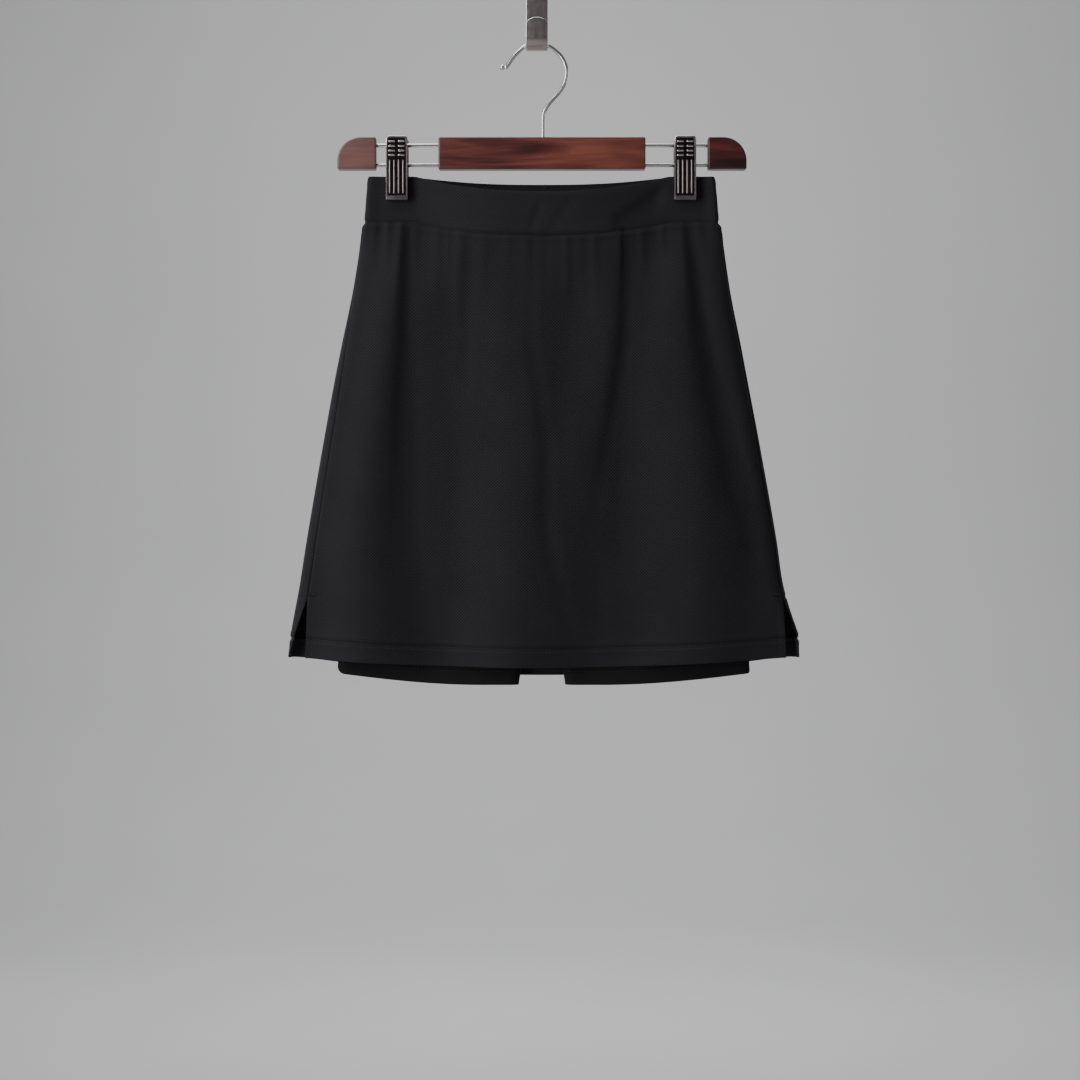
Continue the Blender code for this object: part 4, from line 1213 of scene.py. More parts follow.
@dataclass
class Waistband:
    """The waistband: one deep strip of doubled knit round the waist, seamed at the middle of the back."""

    form: SkortForm
    finish: Material
    columns: int = 350
    flat: tuple[float, float] = (0.610, 0.039)
    seam_place: float = 3.4
    seam_gap: float = 0.02
    turned: tuple[Press, ...] = (Press(0.0, -0.5, 1.6), Press(5.0, 0.35, 6.0), Press(33.5, 0.3, 5.5))
    groove: Press = Press(39.0, -0.9, 2.6)
    seam: Press = Press(0.0, -0.5, 1.6)

    def sheet(self) -> Sheet:
        """Works out the strip's outer face."""
        form = self.form
        drops = stretches((0.0, 3.0, 0.6), (3.0, 36.0, 1.1), (36.0, form.band_drop, 0.6))
        points, along = [], []
        for drop in drops:
            ring = Ring(form, float(drop), form.band_depth)
            middle = ring.front_length + (ring.total - ring.front_length) / 2 - self.seam_place
            start, end = middle + self.seam_gap / 2, middle - self.seam_gap / 2 + ring.total
            sides = [ring.front_length + turn * ring.total for turn in (0, 1)] + [ring.total, 2 * ring.total]
            places = spread(start, end, self.columns, [(side, 1.6, 9.0) for side in sides])
            points.append(ring.row(places))
            along.append(places - (ring.total + ring.front_length / 2))
        sheet = Sheet(np.array(points), drops, np.array(along))
        x, down = sheet.points[..., 0], drops[:, None]
        sunk = self.groove.at(down) * form.seam_depth(x) + self.seam.at(sheet.edges)
        waves = ripples(x, drops, 0.6, 0.16) * smoothstep(down / 6.0)
        sheet.raise_by(sum(line.at(down) for line in self.turned) + sunk + waves)
        return sheet

    def build(self) -> Object:
        """Builds and dresses the waistband.

        Returns:
            The piece.
        """
        wall = self.form.band_wall
        piece = self.sheet().build("waistband", self.form, lambda drops: np.full(len(drops), wall))
        dress(piece, self.finish, "band_knit", "waistband")
        return piece


@dataclass
class SkirtPanel:
    """The skirt's front or back: a flared panel, gathered into the waistband, with a hem and turned slits."""

    form: SkortForm
    face: Face
    finish: Material
    thread: Material
    columns: int
    flat: tuple[float, float]
    area: float
    lip: Press = Press(43.2, 0.6, 3.2)
    groove: Press = Press(39.03, -1.1, 2.6)
    hem: tuple[Press, ...] = (Press(-4.2, 0.45, 3.6), Press(0.0, -0.95, 2.4), Press(4.4, 0.25, 3.6))
    turned: Press = Press(5.0, -0.34, 1.1)
    side_seam: Press = Press(0.0, -0.55, 1.4)
    pulled: Press = Press(-1.6, -0.8, 2.4)
    stitching: Stitching = Stitching()
    tack: Stitching = Stitching(length=3.4, pitch=5.0, width=0.60, rise=0.30)

    def stretch(self, ring: Ring, drop: float) -> tuple[float, float]:
        """Where the panel starts and ends along a ring."""
        form, front = self.form, self.face is Face.FRONT
        inset = form.front_edge_inset if front else form.back_edge_inset
        left = ring.front_at(-form.reach(Side.LEFT, drop) + inset(Side.LEFT, drop))
        right = ring.front_at(form.reach(Side.RIGHT, drop) - inset(Side.RIGHT, drop))
        if front:
            return left + GAP / 2, right - GAP / 2
        return right + GAP / 2, left - GAP / 2 + ring.total

    def sheet(self) -> Sheet:
        """Works out the panel's outer face.

        Returns:
            The panel, with its hem, seams and creases.
        """
        form = self.form
        stitch_line = form.skirt_hem - form.hem_depth
        drops = stretches(
            (form.skirt_top, 50.0, 0.9),
            (50.0, form.slit_top - 10.0, 2.6),
            (form.slit_top - 10.0, form.slit_top + 4.0, 1.2),
            (form.slit_top + 4.0, stitch_line - 7.0, 2.6),
            (stitch_line - 7.0, stitch_line + 6.0, 0.65),
            (stitch_line + 6.0, form.skirt_hem, 1.2),
        )
        points, along = [], []
        for drop in drops:
            ring = Ring(form, float(drop), form.skirt_depth)
            start, end = self.stretch(ring, float(drop))
            dense = [(start, 2.2, 9.0), (end, 2.2, 9.0)]
            if self.face is Face.BACK:
                dense += [(ring.front_length, 1.5, 14.0), (ring.total, 1.5, 14.0)]
            places = spread(start, end, self.columns, dense)
            middle = ring.front_at(0.0)
            if self.face is Face.BACK:
                middle = ring.front_length + (ring.total - ring.front_length) / 2
            points.append(ring.row(places))
            along.append(places - middle)
        sheet = Sheet(np.array(points), drops, np.array(along))
        self.detail(sheet, stitch_line)
        return sheet

    def detail(self, sheet: Sheet, stitch_line: float) -> None:
        """Presses the seam, hem and slit lines into the sheet, and adds its creases."""
        form, x, down = self.form, sheet.points[..., 0], sheet.drops[:, None]
        below = down - stitch_line
        height = creased(CREASES[self.face], x, sheet.drops)
        waves = ripples(x, sheet.drops, 1.3 if self.face is Face.FRONT else 2.9, 0.3)
        height += waves * smoothstep((down - 44.0) / 30.0) * (1 - 0.6 * smoothstep((below + 10.0) / 12.0))
        height += self.lip.at(down) + self.groove.at(down) * form.seam_depth(x)
        height += sum(line.at(below) for line in self.hem)
        height += 0.10 * np.sin(x / 1.15 + 1.7 * np.sin(x / 13.0)) * bell(below / 4.5)
        slit = smoothstep((down - form.slit_top - 2.0) / 6.0)
        height += self.turned.at(sheet.edges) * slit + self.side_seam.at(sheet.edges) * (1 - slit)
        height += self.pulled.at(down - form.slit_top) * smoothstep(1.7 - sheet.edges / 8.0)
        sheet.raise_by(height)

    def wall(self, drops: np.ndarray) -> np.ndarray:
        """The cloth's thickness, doubled where the hem is turned up."""
        form = self.form
        share = smoothstep((drops - form.skirt_hem + form.hem_depth + 1.0) / 1.5)
        return form.skirt_wall + (form.hem_wall - form.skirt_wall) * share

    def sew(self, sheet: Sheet, name: str) -> Object:
        """Sews the hem, the slits' turned edges and a bar of tacks at the top of each slit."""
        form = self.form
        frames = []
        for offset in (-0.1, 2.5):
            path, outward = sheet.row_at(form.skirt_hem - form.hem_depth + offset)
            frames += self.stitching.along(path, outward, 1.0)
        for side in Side:
            path, outward = sheet.column_at(self.turned.place, side, form.slit_top + 3.0)
            frames += self.stitching.along(path, outward, 0.5)
            if self.face is Face.FRONT:
                frames += self.tacks(sheet, side)
        piece = self.stitching.build(name, form, frames)
        return dress(piece, self.thread, "skirt_knit")

    def tacks(self, sheet: Sheet, side: Side) -> list[np.ndarray]:
        """A bartack across the top of a slit: close stitches side by side."""
        frames = []
        for step in range(14):
            path, outward = sheet.column_at(0.8 + 0.52 * step, side, self.form.slit_top - 6.8)
            frames += self.tack.along(path[:4], outward[:4])[:1]
        return frames

    def build(self) -> list[Object]:
        """Builds and dresses the panel and its stitches.

        Returns:
            The panel and its stitches.
        """
        name = f"skirt_{self.face.word}"
        sheet = self.sheet()
        piece = sheet.build(name, self.form, self.wall)
        dress(piece, self.finish, "skirt_knit", name)
        stitches = self.sew(sheet, name + "_stitches")
        return [piece, stitches]


@dataclass
class ShortsPanel:
    """One quarter of the shorts: the front or the back of one leg, up to the waistband."""

    form: SkortForm
    face: Face
    side: Side
    finish: Material
    thread: Material
    columns: int = 66
    hem_depth: float = 14.0
    leg_parting: float = 0.8
    flat: tuple[float, float] = (0.176, 0.396)
    area: float = 0.062
    hem: tuple[Press, ...] = (Press(-3.0, 0.22, 3.0), Press(0.0, -0.32, 1.5))
    seam: Press = Press(0.0, -0.3, 1.2)
    stitching: Stitching = Stitching(length=2.3, pitch=2.8, width=0.4)

    def row(self, drop: float) -> tuple[np.ndarray, np.ndarray]:
        """One row of the panel, from its inner edge outwards.

        Args:
            drop: the row's drop.

        Returns:
            The hanging points and their lengths along the row.
        """
        form, sign = self.form, self.side.value
        outside, inside = form.reach(self.side, drop, "shorts"), form.leg_inside(drop)
        x = inside + (outside - inside) * 0.5 * (1 - np.cos(np.linspace(0.0, math.pi, 700)))
        closing = form.closure(x * sign, drop, "shorts") * form.crotch_closure(x, drop)
        depth = GAP / 2 + np.maximum(form.shorts_depth(x * sign, self.face, drop) - GAP / 2, 0.0) * closing
        lengths = np.concatenate([[0.0], np.cumsum(np.hypot(np.diff(x), np.diff(depth)))])
        places = spread(0.0, lengths[-1], self.columns, [(0.0, 1.5, 10.0), (lengths[-1], 1.5, 10.0)])
        x, y = (np.interp(places, lengths, values) for values in (x, depth))
        inward = np.clip((outside - x) / (outside - form.leg_gap / 2) / self.leg_parting, 0.0, 1.0)
        low = float(smoothstep((drop - form.band_drop) / (form.shorts_hem - form.band_drop)))
        dip = form.leg_sag * np.sin(0.5 * math.pi * inward)
        corner = form.leg_corner[self.side is Side.RIGHT]
        outermost = np.clip(1.0 - (outside - x) / corner, 0.0, 1.0)
        dip -= corner * low**8 * (1 - np.sqrt(1 - outermost**2))
        fall = drop + form.sag(x * sign, self.face, drop) * (1 - low) + dip * low
        return np.column_stack([x * sign, y * self.face.value, -fall]), places

    def sheet(self) -> Sheet:
        """Works out the panel's outer face, its rows running to the right as seen from outside."""
        form = self.form
        stitch_line = form.shorts_hem - self.hem_depth
        drops = stretches(
            (form.band_drop + GAP, 50.0, 1.8),
            (50.0, stitch_line - 5, 4.0),
            (stitch_line - 5, stitch_line + 5, 0.9),
            (stitch_line + 5, form.shorts_hem, 1.8),
        )
        rows = [self.row(float(drop)) for drop in drops]
        points, along = np.array([row[0] for row in rows]), np.array([row[1] for row in rows])
        if self.side.value * self.face.value > 0:
            points, along = points[:, ::-1], -along[:, ::-1]
        sheet = Sheet(points, drops, along)
        down = drops[:, None]
        free = smoothstep((down - 60.0) / 40.0) * smoothstep(sheet.edges / 12.0)
        waves = ripples(points[..., 0], drops, 0.4 * self.side.value + self.face.value, 0.2) * free
        hem = sum(line.at(down - stitch_line) for line in self.hem)
        sheet.raise_by(hem + waves + self.seam.at(sheet.edges))
        return sheet

    def build(self) -> list[Object]:
        """Builds and dresses the panel and its hem's stitches.

        Returns:
            The panel and its stitches.
        """
        form = self.form
        name = f"shorts_{self.face.word}_{self.side.word}"
        sheet = self.sheet()
        piece = sheet.build(name, form, lambda drops: np.full(len(drops), form.shorts_wall))
        dress(piece, self.finish, "shorts_knit", name)
        frames = []
        for offset in (0.0, 2.4):
            path, outward = sheet.row_at(form.shorts_hem - self.hem_depth + offset)
            frames += self.stitching.along(path, outward, 1.0)
        stitches = dress(self.stitching.build(name + "_stitches", form, frames), self.thread, "shorts_knit")
        return [piece, stitches]


# ---------------------------------------------------------------- the hanger and its hook


def bore_for_rails(piece: Object, low: Vector, high: Vector) -> None:
    """Drills a piece for both rails, right through it or as deep as the rails reach.

    Args:
        piece: the piece to drill.
        low: its lowest corner.
        high: its highest corner.
    """
    past, play = 5 * MM, 0.4 * MM
    for node in RAILS:
        rail_low, rail_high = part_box(node)
        middle = (rail_low + rail_high) / 2
        start = Vector((max(low.x - past, rail_low.x - play), middle.y, middle.z))
        end = Vector((min(high.x + past, rail_high.x + play), middle.y, middle.z))
        combine(piece, cylinder("bore", RAIL_RADIUS + 0.3 * MM, start, end), "DIFFERENCE")


@dataclass
class Hanger:
    """The hanger: a wooden bar and two wooden ends on two chromed rails, and its hook wire.

    Attributes:
        wood: the bar's and the two ends' finishes, by node.
        chrome: the rails' and the hook's finish.
        edge: how round the wood's edges are, in metres.
        corner: the radius of an end's outer top corner.
        wire_radius: of the hook.
        tip_radius: of the ball at the hook's end.
        socket: how deep the stem's socket is.
        route: the hook wire's bends, from its free tip to its stem, as x and z in mm.
    """

    wood: dict[str, Material]
    chrome: Material
    edge: float = 1.6 * MM
    corner: float = 20.5 * MM
    wire_radius: float = 1.75 * MM
    tip_radius: float = 2.3 * MM
    socket: float = 3.3 * MM
    route: tuple[Row, ...] = (
        (-29.7, -56.1), (-26.7, -56.0), (-23.7, -52.2), (-20.0, -47.0), (-15.2, -42.0),
        (-9.6, -37.5), (-3.4, -35.6), (3.4, -35.5), (9.8, -37.5), (15.4, -41.3),
        (20.6, -46.4), (24.3, -53.6), (25.4, -61.4), (23.6, -69.4), (19.4, -76.8),
        (13.6, -83.4), (8.8, -89.2), (5.9, -95.2), (5.3, -102.0), (5.3, -110.0),
    )

    def bar(self) -> Object:
        """The wooden bar, its edges rounded, with a socket for the hook's stem."""
        low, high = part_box("hanger_bar")
        piece = cube("hanger_bar", low, high)
        round_edges(piece, self.edge, 5)
        bore_for_rails(piece, low, high)
        stem = Vector((self.route[-1][0] * MM, (low.y + high.y) / 2, high.z))
        foot, past = stem - Vector((0, 0, self.socket)), stem + Vector((0, 0, 5 * MM))
        combine(piece, cylinder("socket", self.wire_radius + 0.3 * MM, foot, past), "DIFFERENCE")
        shade(piece)
        return dress(piece, self.wood["hanger_bar"], "wood", "hanger_bar")

    def end(self, side: Side) -> Object:
        """An end block: its outer top corner rounded off in a quarter circle, all its edges eased."""
        name = f"hanger_end_{side.word}"
        low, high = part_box(name)
        outer = low.x if side is Side.LEFT else high.x
        piece = cube(name, low, high)
        corner = Vector((outer, high.z))
        bevel_edges(piece, lambda a, b: all((p.xz - corner).length < 1e-5 for p in (a, b)), self.corner, 18)
        round_edges(piece, self.edge, 5, 50.0)
        bore_for_rails(piece, low, high)
        shade(piece)
        return dress(piece, self.wood[name], "wood", name)

    def rail(self, node: str) -> Object:
        """A chromed rail with eased ends."""
        low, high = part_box(node)
        middle = (low + high) / 2
        start, end = (Vector((x, middle.y, middle.z)) for x in (low.x, high.x))
        piece = cylinder(node, RAIL_RADIUS, start, end, 28)
        round_edges(piece, 0.4 * MM, 3)
        shade(piece)
        return dress(piece, self.chrome, "chrome", node)

    def hook(self) -> Object:
        """The hook wire: a smooth curve down into the bar, with a neck and a ball at its free end."""
        low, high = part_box("hanger_hook")
        y = (low.y + high.y) / 2
        deselect()
        bpy.ops.curve.primitive_nurbs_path_add()
        curve = bpy.context.object
        curve.name = "hanger_hook"
        curve.data.splines.clear()
        path = smooth_route([*self.route, (self.route[-1][0], low.z / MM)], 6)
        spline = curve.data.splines.new("POLY")
        spline.points.add(len(path) - 1)
        for index, (point, (x, z)) in enumerate(zip(spline.points, path)):
            point.co = (x * MM, y, z * MM, 1.0)
            point.radius = 0.62 + 0.38 * float(smoothstep((index - 4) / 2))
        curve.data.bevel_depth = self.wire_radius
        curve.data.bevel_resolution = 5
        curve.data.use_fill_caps = True
        pick(curve)
        bpy.ops.object.convert(target="MESH")
        wire = take("hanger_hook")
        modify(wire, "WELD", merge_threshold=1e-6)
        deselect()
        tip = Vector((self.route[0][0] * MM, y, self.route[0][1] * MM))
        bpy.ops.mesh.primitive_uv_sphere_add(segments=28, ring_count=18, radius=self.tip_radius, location=tip)
        combine(wire, take("tip"), "UNION")
        shade(wire, 50.0)
        return dress(wire, self.chrome, "chrome", "hanger_hook")

    def build(self) -> list[Object]:
        """Builds the hanger's pieces.

        Returns:
            All of them.
        """
        ends = [self.end(side) for side in Side]
        rails = [self.rail(node) for node in RAILS]
        return [self.bar(), *ends, *rails, self.hook()]


def smooth_route(points: Sequence[Row], steps: int) -> list[np.ndarray]:
    """Points on a smooth curve through a route's own points.

    Args:
        points: the route's points.
        steps: how many points the curve has for each of them.

    Returns:
        The curve's points.
    """
    route = []
    padded = [points[0], *points, points[-1]]
    for group in zip(padded, padded[1:], padded[2:], padded[3:]):
        a, b, c, d = (np.array(point, float) for point in group)
        for t in np.arange(steps) / steps:
            bend = (2 * a - 5 * b + 4 * c - d) * t**2 + (3 * b - a - 3 * c + d) * t**3
            route.append(b + 0.5 * ((c - a) * t + bend))
    return [*route, np.array(points[-1], float)]


@dataclass
class Clip:
    """A sprung clip: two pressed jaws with ribs and rungs, on a slider that runs on both rails.

    Attributes:
        side: which clip it is.
        metal: the plating of the plate, the lip and the slider.
        panel_shade: a nearly black copy of the plating on the pressed panel's floor: painted shade and a
            painted dark reflection.
        polish: a much brighter copy of the plating on the rungs and on the faces tilted round the plate's
            edges, the top's rim among them: a painted highlight.
        thickness: of a jaw's plate, in metres.
        relief: how far ribs and rungs stand off the plate in the solid.
        corner: the radius of a jaw's two top corners.
        rim: how round its outer edge is along the top.
        border: the width of the raised border round the pressed panel.
        press: how deep the panel is.
        lip: the height of the lip that grips the cloth.
        rib_offsets: the ribs' places across.
        rib: their radius, and their length.
        rib_top: how far below the jaw's top they begin.
        rung_offsets: the rungs' places across.
        rung_drops: how far below the jaw's top each lies.
        rung: their width and height.
        pin: the radius of the jaws' pin, and how far it stands out of the slider.
        pin_rise: how far above the slider's foot it lies.
    """

    side: Side
    metal: Material
    panel_shade: Material
    polish: Material
    thickness: float = 1.4 * MM
    relief: float = 0.8 * MM
    corner: float = 2.6 * MM
    rim: float = 0.7 * MM
    border: float = 1.2 * MM
    press: float = 0.45 * MM
    lip: float = 2.6 * MM
    rib_offsets: Row = (-6.0 * MM, -2.2 * MM, 1.6 * MM, 5.4 * MM)
    rib: tuple[float, float] = (0.85 * MM, 29.0 * MM)
    rib_top: float = 20.5 * MM
    rung_offsets: Row = (-4.3 * MM, 3.9 * MM)
    rung_drops: Row = (4.8 * MM, 8.9 * MM, 12.8 * MM, 16.6 * MM)
    rung: tuple[float, float] = (5.8 * MM, 1.7 * MM)
    pin: tuple[float, float] = (1.5 * MM, 1.6 * MM)
    pin_rise: float = 4.2 * MM

    def jaw(self, face: Face) -> Object:
        """A jaw: a plate with a pressed panel, ribs and rungs standing in it, and a lip at its foot.

        It is modelled as the front jaw and turned about the clip's upright middle for the back.

        Args:
            face: the face of the garment that it grips.

        Returns:
            The piece.
        """
        low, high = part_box(f"clip_{self.side.word}_jaw_front")
        face_y, top = low.y + self.relief, high.z
        inner_y = face_y + self.thickness
        plate = cube("plate", Vector((low.x, face_y, low.z + 0.8 * self.lip)), Vector((high.x, inner_y, top)))
        bevel_edges(plate, lambda a, b: (a - b).xz.length < 1e-6 and a.z > top - 1e-5, self.corner, 8)
        bevel_edges(
            plate,
            lambda a, b: all(abs(p.y - face_y) < 1e-6 and p.z > top - self.corner - 1e-5 for p in (a, b)),
            self.rim,
            4,
        )
        with editing(plate, "FACE") as shape:
            for polygon in shape.faces:
                polygon.select = polygon.normal.y < -0.999
            bmesh.update_edit_mesh(plate.data)
            bpy.ops.mesh.inset(thickness=self.border)
            bpy.ops.mesh.extrude_region_move(TRANSFORM_OT_translate={"value": (0.0, self.press, 0.0)})
            bpy.ops.mesh.inset(thickness=0.25 * MM)
        for finish in (self.metal, self.panel_shade, self.polish):
            plate.data.materials.append(finish)
        for polygon in plate.data.polygons:
            # The panel's floor takes the nearly black copy of the plating: painted shade and a painted dark
            # reflection.
            floor = polygon.normal.y < -0.9 and abs(polygon.center.y - face_y - self.press) < 1e-5
            # Faces tilted away from the front, round the edges and along the top's rim, take the brighter
            # copy: a painted highlight.
            tilted_highlight = -0.985 < polygon.normal.y < -0.15
            polygon.material_index = 1 if floor else 2 * tilted_highlight
        round_edges(plate, 0.22 * MM, 3, 50.0)
        # The rungs take the brighter copy of the plating, a painted highlight; the lip and the ribs take the
        # plain plating.
        for part in self.pressings(low, high):
            part.data.materials.append(self.polish if part.name.startswith("rung") else self.metal)
            combine(plate, part, "UNION")
        name = f"clip_{self.side.word}_jaw_{face.word}"
        plate.name = plate.data.name = name
        if face is Face.BACK:
            slider_low, slider_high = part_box(f"clip_{self.side.word}_slider")
            middle = (slider_low + slider_high) / 2
            turn = Matrix.Rotation(math.pi, 4, "Z")
            plate.data.transform(Matrix.Translation(middle) @ turn @ Matrix.Translation(-middle))
        shade(plate)
        return dress(plate, self.metal, "clip_metal", name)

    def pressings(self, low: Vector, high: Vector) -> Iterator[Object]:
        """The lip, the ribs and the rungs of a jaw, one after another.

        Args:
            low: the jaw's lowest corner.
            high: its highest corner, whose depth is where the lip grips.

        Yields:
            Each piece, to be joined to the plate.
        """
        middle, face_y, top = (low.x + high.x) / 2, low.y + self.relief, high.z
        lip_low = Vector((low.x, face_y + 0.35 * MM, low.z))
        lip = cube("lip", lip_low, Vector((high.x, high.y, low.z + self.lip)))
        round_edges(lip, 0.5 * MM, 4)
        yield lip
        radius, length = self.rib
        y, z = face_y + self.press - 0.15 * MM, top - self.rib_top - length + radius
        for offset in self.rib_offsets:
            yield capsule("rib", radius, Vector((middle + offset, y, z)), length - 2 * radius)
        width, height = self.rung
        front, back = face_y - 0.5 * MM, face_y + self.thickness - 0.4 * MM
        for offset in self.rung_offsets:
            for drop in self.rung_drops:
                x, z = middle + offset, top - drop
                low_corner = Vector((x - width / 2, front, z - height / 2))
                rung = cube("rung", low_corner, Vector((x + width / 2, back, z + height / 2)))
                round_edges(rung, 0.75 * MM, 5)
                yield rung

    def slider(self) -> Object:
        """The slider: a block bored for both rails, with the pin on which the jaws turn."""
        name = f"clip_{self.side.word}_slider"
        low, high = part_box(name)
        piece = cube(name, low, high)
        round_edges(piece, 0.8 * MM, 4)
        bore_for_rails(piece, low, high)
        radius, out = self.pin
        y, z = (low.y + high.y) / 2, low.z + self.pin_rise
        start, end = (Vector((x, y, z)) for x in (low.x - out, high.x + out))
        pin = cylinder("pin", radius, start, end, 24)
        round_edges(pin, 0.4 * MM, 3)
        combine(piece, pin, "UNION")
        shade(piece)
        return dress(piece, self.metal, "clip_metal", name)

    def build(self) -> list[Object]:
        """Builds the clip's pieces.

        Returns:
            The slider and both jaws.
        """
        return [self.slider(), *(self.jaw(face) for face in Face)]


@dataclass
class WallHook:
    """The wall hook: one brushed steel strap, up the wall, round a trough and up its lip.

    Attributes:
        steel: its finish.
        wear_and_highlight: the bright finish of its rounded edges: a painted highlight along the lip's arc
            and the strap's sides.
        thickness: of the strap, in metres.
        gap: between the plate and the lip.
        plate_end: the height of the plate's rounded top.
        lip_top: the height of the lip's top.
        lip_end: the height of the lip's rounded top.
        edge: how round its edges are.
        columns: how many points its width has before it is bent.
    """

    steel: Material
    wear_and_highlight: Material
    thickness: float = 1.5 * MM
    gap: float = 20.0 * MM
    plate_end: float = 9.5 * MM
    lip_top: float = -15.5 * MM
    lip_end: float = 6.5 * MM
    edge: float = 0.65 * MM
    columns: int = 15

    def path(self, low: Vector, high: Vector) -> np.ndarray:
        """The strap's middle line as y, z and half its width, from the plate's top to the lip's."""
        radius = (self.gap + self.thickness) / 2
        back, bend = -self.thickness / 2, low.z + self.thickness / 2 + radius
        half = (high.x - low.x) / 2
        rise = np.sin(np.linspace(0.5 * math.pi, 0.0, 16))
        widths = [half * max(math.sqrt(1 - s * s), 0.06) for s in rise]
        rows = [(back, high.z - self.plate_end * (1 - s), width) for s, width in zip(rise, widths)]
        rows += [(back, z, half) for z in np.linspace(rows[-1][1], bend, 14)[1:-1]]
        middle = back - radius
        for turn in np.linspace(0.0, math.pi, 25):
            rows.append((middle + radius * math.cos(turn), bend - radius * math.sin(turn), half))
        front = middle - radius
        shoulder = self.lip_top - self.lip_end
        rows += [(front, z, half) for z in np.linspace(bend, shoulder, 6)[1:-1]]
        rows += [(front, shoulder + self.lip_end * s, width) for s, width in zip(rise[::-1], widths[::-1])]
        return np.array(rows)

    def build(self) -> Object:
        """Builds and dresses the strap.

        Returns:
            The piece.
        """
        low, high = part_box("wall_hook")
        path = self.path(low, high)
        deselect()
        last = len(path) - 1
        bpy.ops.mesh.primitive_grid_add(x_subdivisions=self.columns - 1, y_subdivisions=last, size=2.0)
        piece = take("wall_hook")
        middle = (low.x + high.x) / 2
        for vert in piece.data.vertices:
            y, z, half = path[round((1 - vert.co.y) / 2 * last)]
            vert.co = (middle + vert.co.x * half, y, z)
        with editing(piece, "FACE"):
            bpy.ops.mesh.select_all(action="SELECT")
            bpy.ops.mesh.dissolve_limited(angle_limit=math.radians(1.0))
        modify(piece, "SOLIDIFY", thickness=self.thickness, offset=0.0, use_even_offset=True)
        piece.data.materials.append(self.steel)
        # The rounded edges take the second, bright steel: a painted highlight along the lip's arc and the
        # strap's sides.
        piece.data.materials.append(self.wear_and_highlight)
        round_edges(piece, self.edge, 4, 50.0, 1)
        shade(piece)
        return dress(piece, self.steel, "steel", "wall_hook")


# ---------------------------------------------------------------- the studio


@dataclass
class Studio:
    """A plain pale floor that sweeps up far behind, soft lights and the camera.

    Attributes:
        picture: the width and height of the photograph's frame at the hanging plane, in metres, a little
            wide because most of what shows lies in front of it.
        aim: the point of the hanging plane in the middle of the frame.
        distance: from the camera to the hanging plane.
        floor: the floor's height.
        sweep: how far behind the floor begins to turn up.
    """

    picture: float = 1.002 * 1080 * 0.855 * MM
    aim: Vector = field(default_factory=lambda: Vector((2.6 * MM, -11.5 * MM, -460.8 * MM)))
    distance: float = 1.7
    floor: float = -1.6
    sweep: float = 4.0

    def camera(self) -> None:
        """Places the camera straight ahead, as far off as the photograph's perspective says."""
        deselect()
        place = self.aim - Vector((0, self.distance, 0))
        bpy.ops.object.camera_add(location=place, rotation=(0.5 * math.pi, 0.0, 0.0))
        camera = bpy.context.object
        camera.data.sensor_width = 36.0
        camera.data.lens = camera.data.sensor_width * self.distance / self.picture
        bpy.context.scene.camera = camera

    def light(
        self, name: str, place: Row, size: Row, power: float, target: Row, colour: Colour = (1, 1, 1)
    ) -> None:
        """Adds a soft light of a width and a height that faces a target."""
        deselect()
        way = Vector(target) - Vector(place)
        turn = way.to_track_quat("-Z", "Y").to_euler()
        bpy.ops.object.light_add(type="AREA", location=place, rotation=turn)
        lamp = bpy.context.object
        lamp.name = name
        lamp.data.shape = "RECTANGLE"
        lamp.data.size, lamp.data.size_y = size
        lamp.data.energy = power
        lamp.data.color = colour
        lamp.visible_camera = False

    def backdrop(self) -> None:
        """A pale floor whose far edge turns up in a wide curve."""
        deselect()
        bpy.ops.mesh.primitive_grid_add(x_subdivisions=8, y_subdivisions=60, size=2.0)
        sheet = take("floor")
        radius = 2.5
        for vert in sheet.data.vertices:
            along = (vert.co.y + 1) / 2 * 22.0
            y, z = -9.0 + along, self.floor
            turned = (y - self.sweep) / radius
            if turned > 0:
                turn = min(turned, 0.5 * math.pi)
                y = self.sweep + radius * math.sin(turn)
                z += radius * (1 - math.cos(turn)) + radius * max(turned - turn, 0.0)
            vert.co = (vert.co.x * 12.0, y, z)
        shade(sheet, 60.0)
        shader = Shader("studio floor")
        cloud = shader.noise(shader.place(), Scale=1.5, Detail=4.0)
        shader.set(Base_Color=shader.blend(cloud, (0.60, 0.60, 0.61), (0.66, 0.66, 0.66)), Roughness=0.9)
        sheet.data.materials.append(shader.material)
        sheet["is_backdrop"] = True

    def build(self) -> None:
        """Sets up the camera, the floor, the world and the lights."""
        self.camera()
        self.backdrop()
        world = bpy.data.worlds.new("studio")
        world.use_nodes = True
        background = world.node_tree.nodes["Background"]
        background.inputs["Color"].default_value = (0.86, 0.88, 0.92, 1.0)
        background.inputs["Strength"].default_value = 0.16
        bpy.context.scene.world = world
        middle = tuple(self.aim)
        self.light("key", (-1.75, -1.35, 0.1), (0.9, 2.6), 44.5, middle, (1.0, 0.98, 0.97))
        self.light("fill", (1.9, -2.2, -0.1), (1.6, 1.6), 3.0, middle)
        self.light("rim left", (-1.5, 1.2, 0.3), (0.9, 0.9), 4.5, middle)
        self.light("rim right", (1.6, 1.2, 0.2), (0.9, 0.9), 4.5, middle)
        self.light("overhead", (-0.75, -0.75, 1.35), (0.5, 0.5), 5.0, middle)
        self.light("top", (-0.3, 0.5, 1.6), (1.8, 1.4), 26.0, (0.0, 0.0, -0.1))
        self.light("backdrop", (0.0, 2.2, 1.2), (3.0, 3.0), 130.0, (0.0, 7.0, 0.2))


def painted_light_copy(stops: Stain, scale: Colour, lift: float = 0.0) -> Stain:
    """The same stops with each colour scaled, and lifted towards grey: a copy of a stain with painted light
    or painted shade in its colours.
    """
    return [(place, tuple(s * c + lift for s, c in zip(scale, colour))) for place, colour in stops]


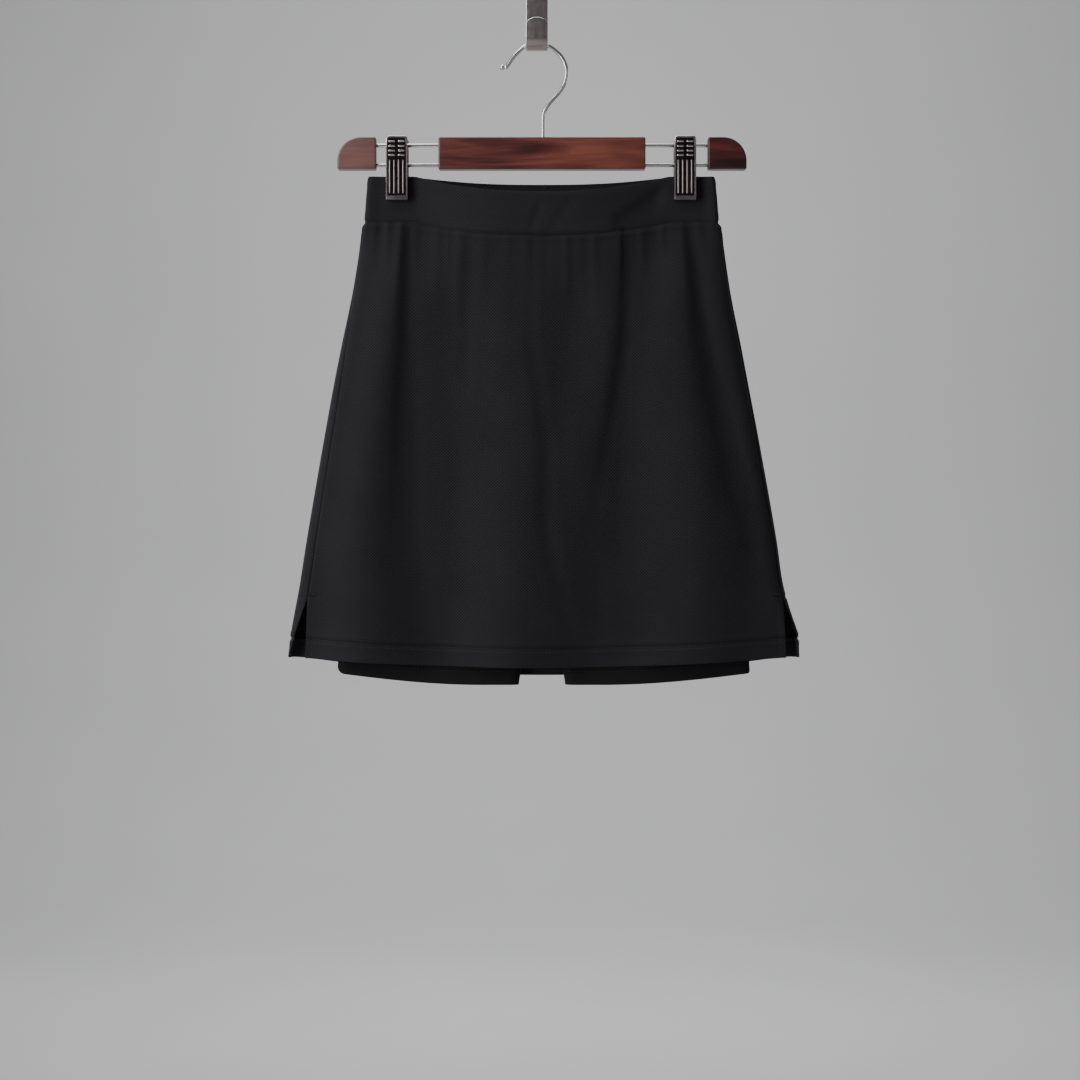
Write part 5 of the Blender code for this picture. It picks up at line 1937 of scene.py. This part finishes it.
def main() -> None:
    """Builds the studio, the hanger and the skort in order, and works out the bounds of the solids and of the
    visual model.
    """
    logging.basicConfig(level=logging.INFO, format="%(name)s: %(message)s")
    for thing in list(bpy.data.objects):
        bpy.data.objects.remove(thing)
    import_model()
    cad_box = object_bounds()
    Studio().build()

    stain = (
        (0.26, (0.032, 0.0062, 0.0052)),
        (0.42, (0.086, 0.0170, 0.0140)),
        (0.58, (0.148, 0.0350, 0.0280)),
        (0.78, (0.255, 0.0720, 0.0470)),
    )
    # A lighter, pinker copy of the stain for the left end, lifted towards grey and read further up its stops:
    # painted sheen where the varnish catches the light.
    sheen_stain = painted_light_copy(stain, (0.74, 0.86, 1.05), 0.044)
    # A darker, redder copy of the stain for the right end: painted shade on the end away from the light.
    deep = painted_light_copy(stain, (0.46, 0.26, 0.32))
    wood = {
        "hanger_bar": WoodFinish("varnished bar", stain, 0.0).make(),
        "hanger_end_left": WoodFinish("varnished left end", sheen_stain, 3.7, 0.02, -0.30).make(),
        "hanger_end_right": WoodFinish("varnished right end", deep, 8.1, 0.0).make(),
    }
    chrome = MetalFinish("chrome", (0.90, 0.86, 0.85), (0.13, 0.24), (90.0, 90.0, 90.0), 0.002).make()
    even = (120.0, 120.0, 120.0)
    nickel = MetalFinish("satin nickel", (0.40, 0.335, 0.345), (0.24, 0.38), even, 0.004).make()
    # A much brighter copy of the nickel for the rungs and the clips' tilted edge faces: a painted highlight.
    polish = MetalFinish("nickel with painted highlight", (0.88, 0.83, 0.81), (0.12, 0.20), even, 0.002).make()
    # A nearly black copy of the nickel for the pressed panels' floors: painted shade and a painted dark
    # reflection.
    shade_nickel = MetalFinish("nickel with painted shade", (0.040, 0.033, 0.036), (0.32, 0.46), even, 0.01).make()
    steel = MetalFinish("brushed steel", (0.50, 0.43, 0.42), (0.22, 0.44), (1100.0, 500.0, 30.0), 0.08).make()
    # Bright steel for the wall hook's rounded edges: a painted highlight.
    wear_and_highlight = MetalFinish("steel with painted highlight", (0.95, 0.91, 0.90), (0.20, 0.30), (300.0, 300.0, 300.0), 0.005).make()
    # The darker yarn colour goes down in the knit's pits: painted shade in its hollows.
    hollow_shade_yarn, light_yarn = (0.0016, 0.0014, 0.0021), (0.0243, 0.0228, 0.0276)
    pitch = (2.6, 2.6)
    skirt_knit = KnitFinish("charcoal birdseye", hollow_shade_yarn, light_yarn, pitch, 0.30, 0.8, 0.10).make()
    band_knit = KnitFinish("charcoal band", hollow_shade_yarn, light_yarn, pitch, 0.24, 0.78, 0.10).make()
    # The jersey's darker colour goes down between its loops: painted shade in the knit's hollows.
    hollow_shade_jersey, light_jersey = (0.0014, 0.0014, 0.0016), (0.0052, 0.0052, 0.0060)
    shorts_knit = KnitFinish("black jersey", hollow_shade_jersey, light_jersey, (1.1, 1.5), 0.07, 0.8, 0.05).make()
    thread = ThreadFinish("charcoal thread", (0.009, 0.009, 0.010)).make()
    black_thread = ThreadFinish("black thread", (0.0025, 0.0025, 0.003)).make()

    WallHook(steel, wear_and_highlight).build()
    Hanger(wood, chrome).build()
    for side in Side:
        Clip(side, nickel, shade_nickel, polish).build()
    form = SkortForm()
    Waistband(form, band_knit).build()
    SkirtPanel(form, Face.FRONT, skirt_knit, thread, 210, (0.450, 0.386), 0.142).build()
    SkirtPanel(form, Face.BACK, skirt_knit, thread, 216, (0.460, 0.392), 0.145).build()
    for face in Face:
        for side in Side:
            ShortsPanel(form, face, side, shorts_knit, black_thread).build()

    visual_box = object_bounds()
    boxes = {"cad": cad_box, "visual": visual_box}
    {name: [list(corner) for corner in box] for name, box in boxes.items()}


if __name__ == "__main__":
    main()
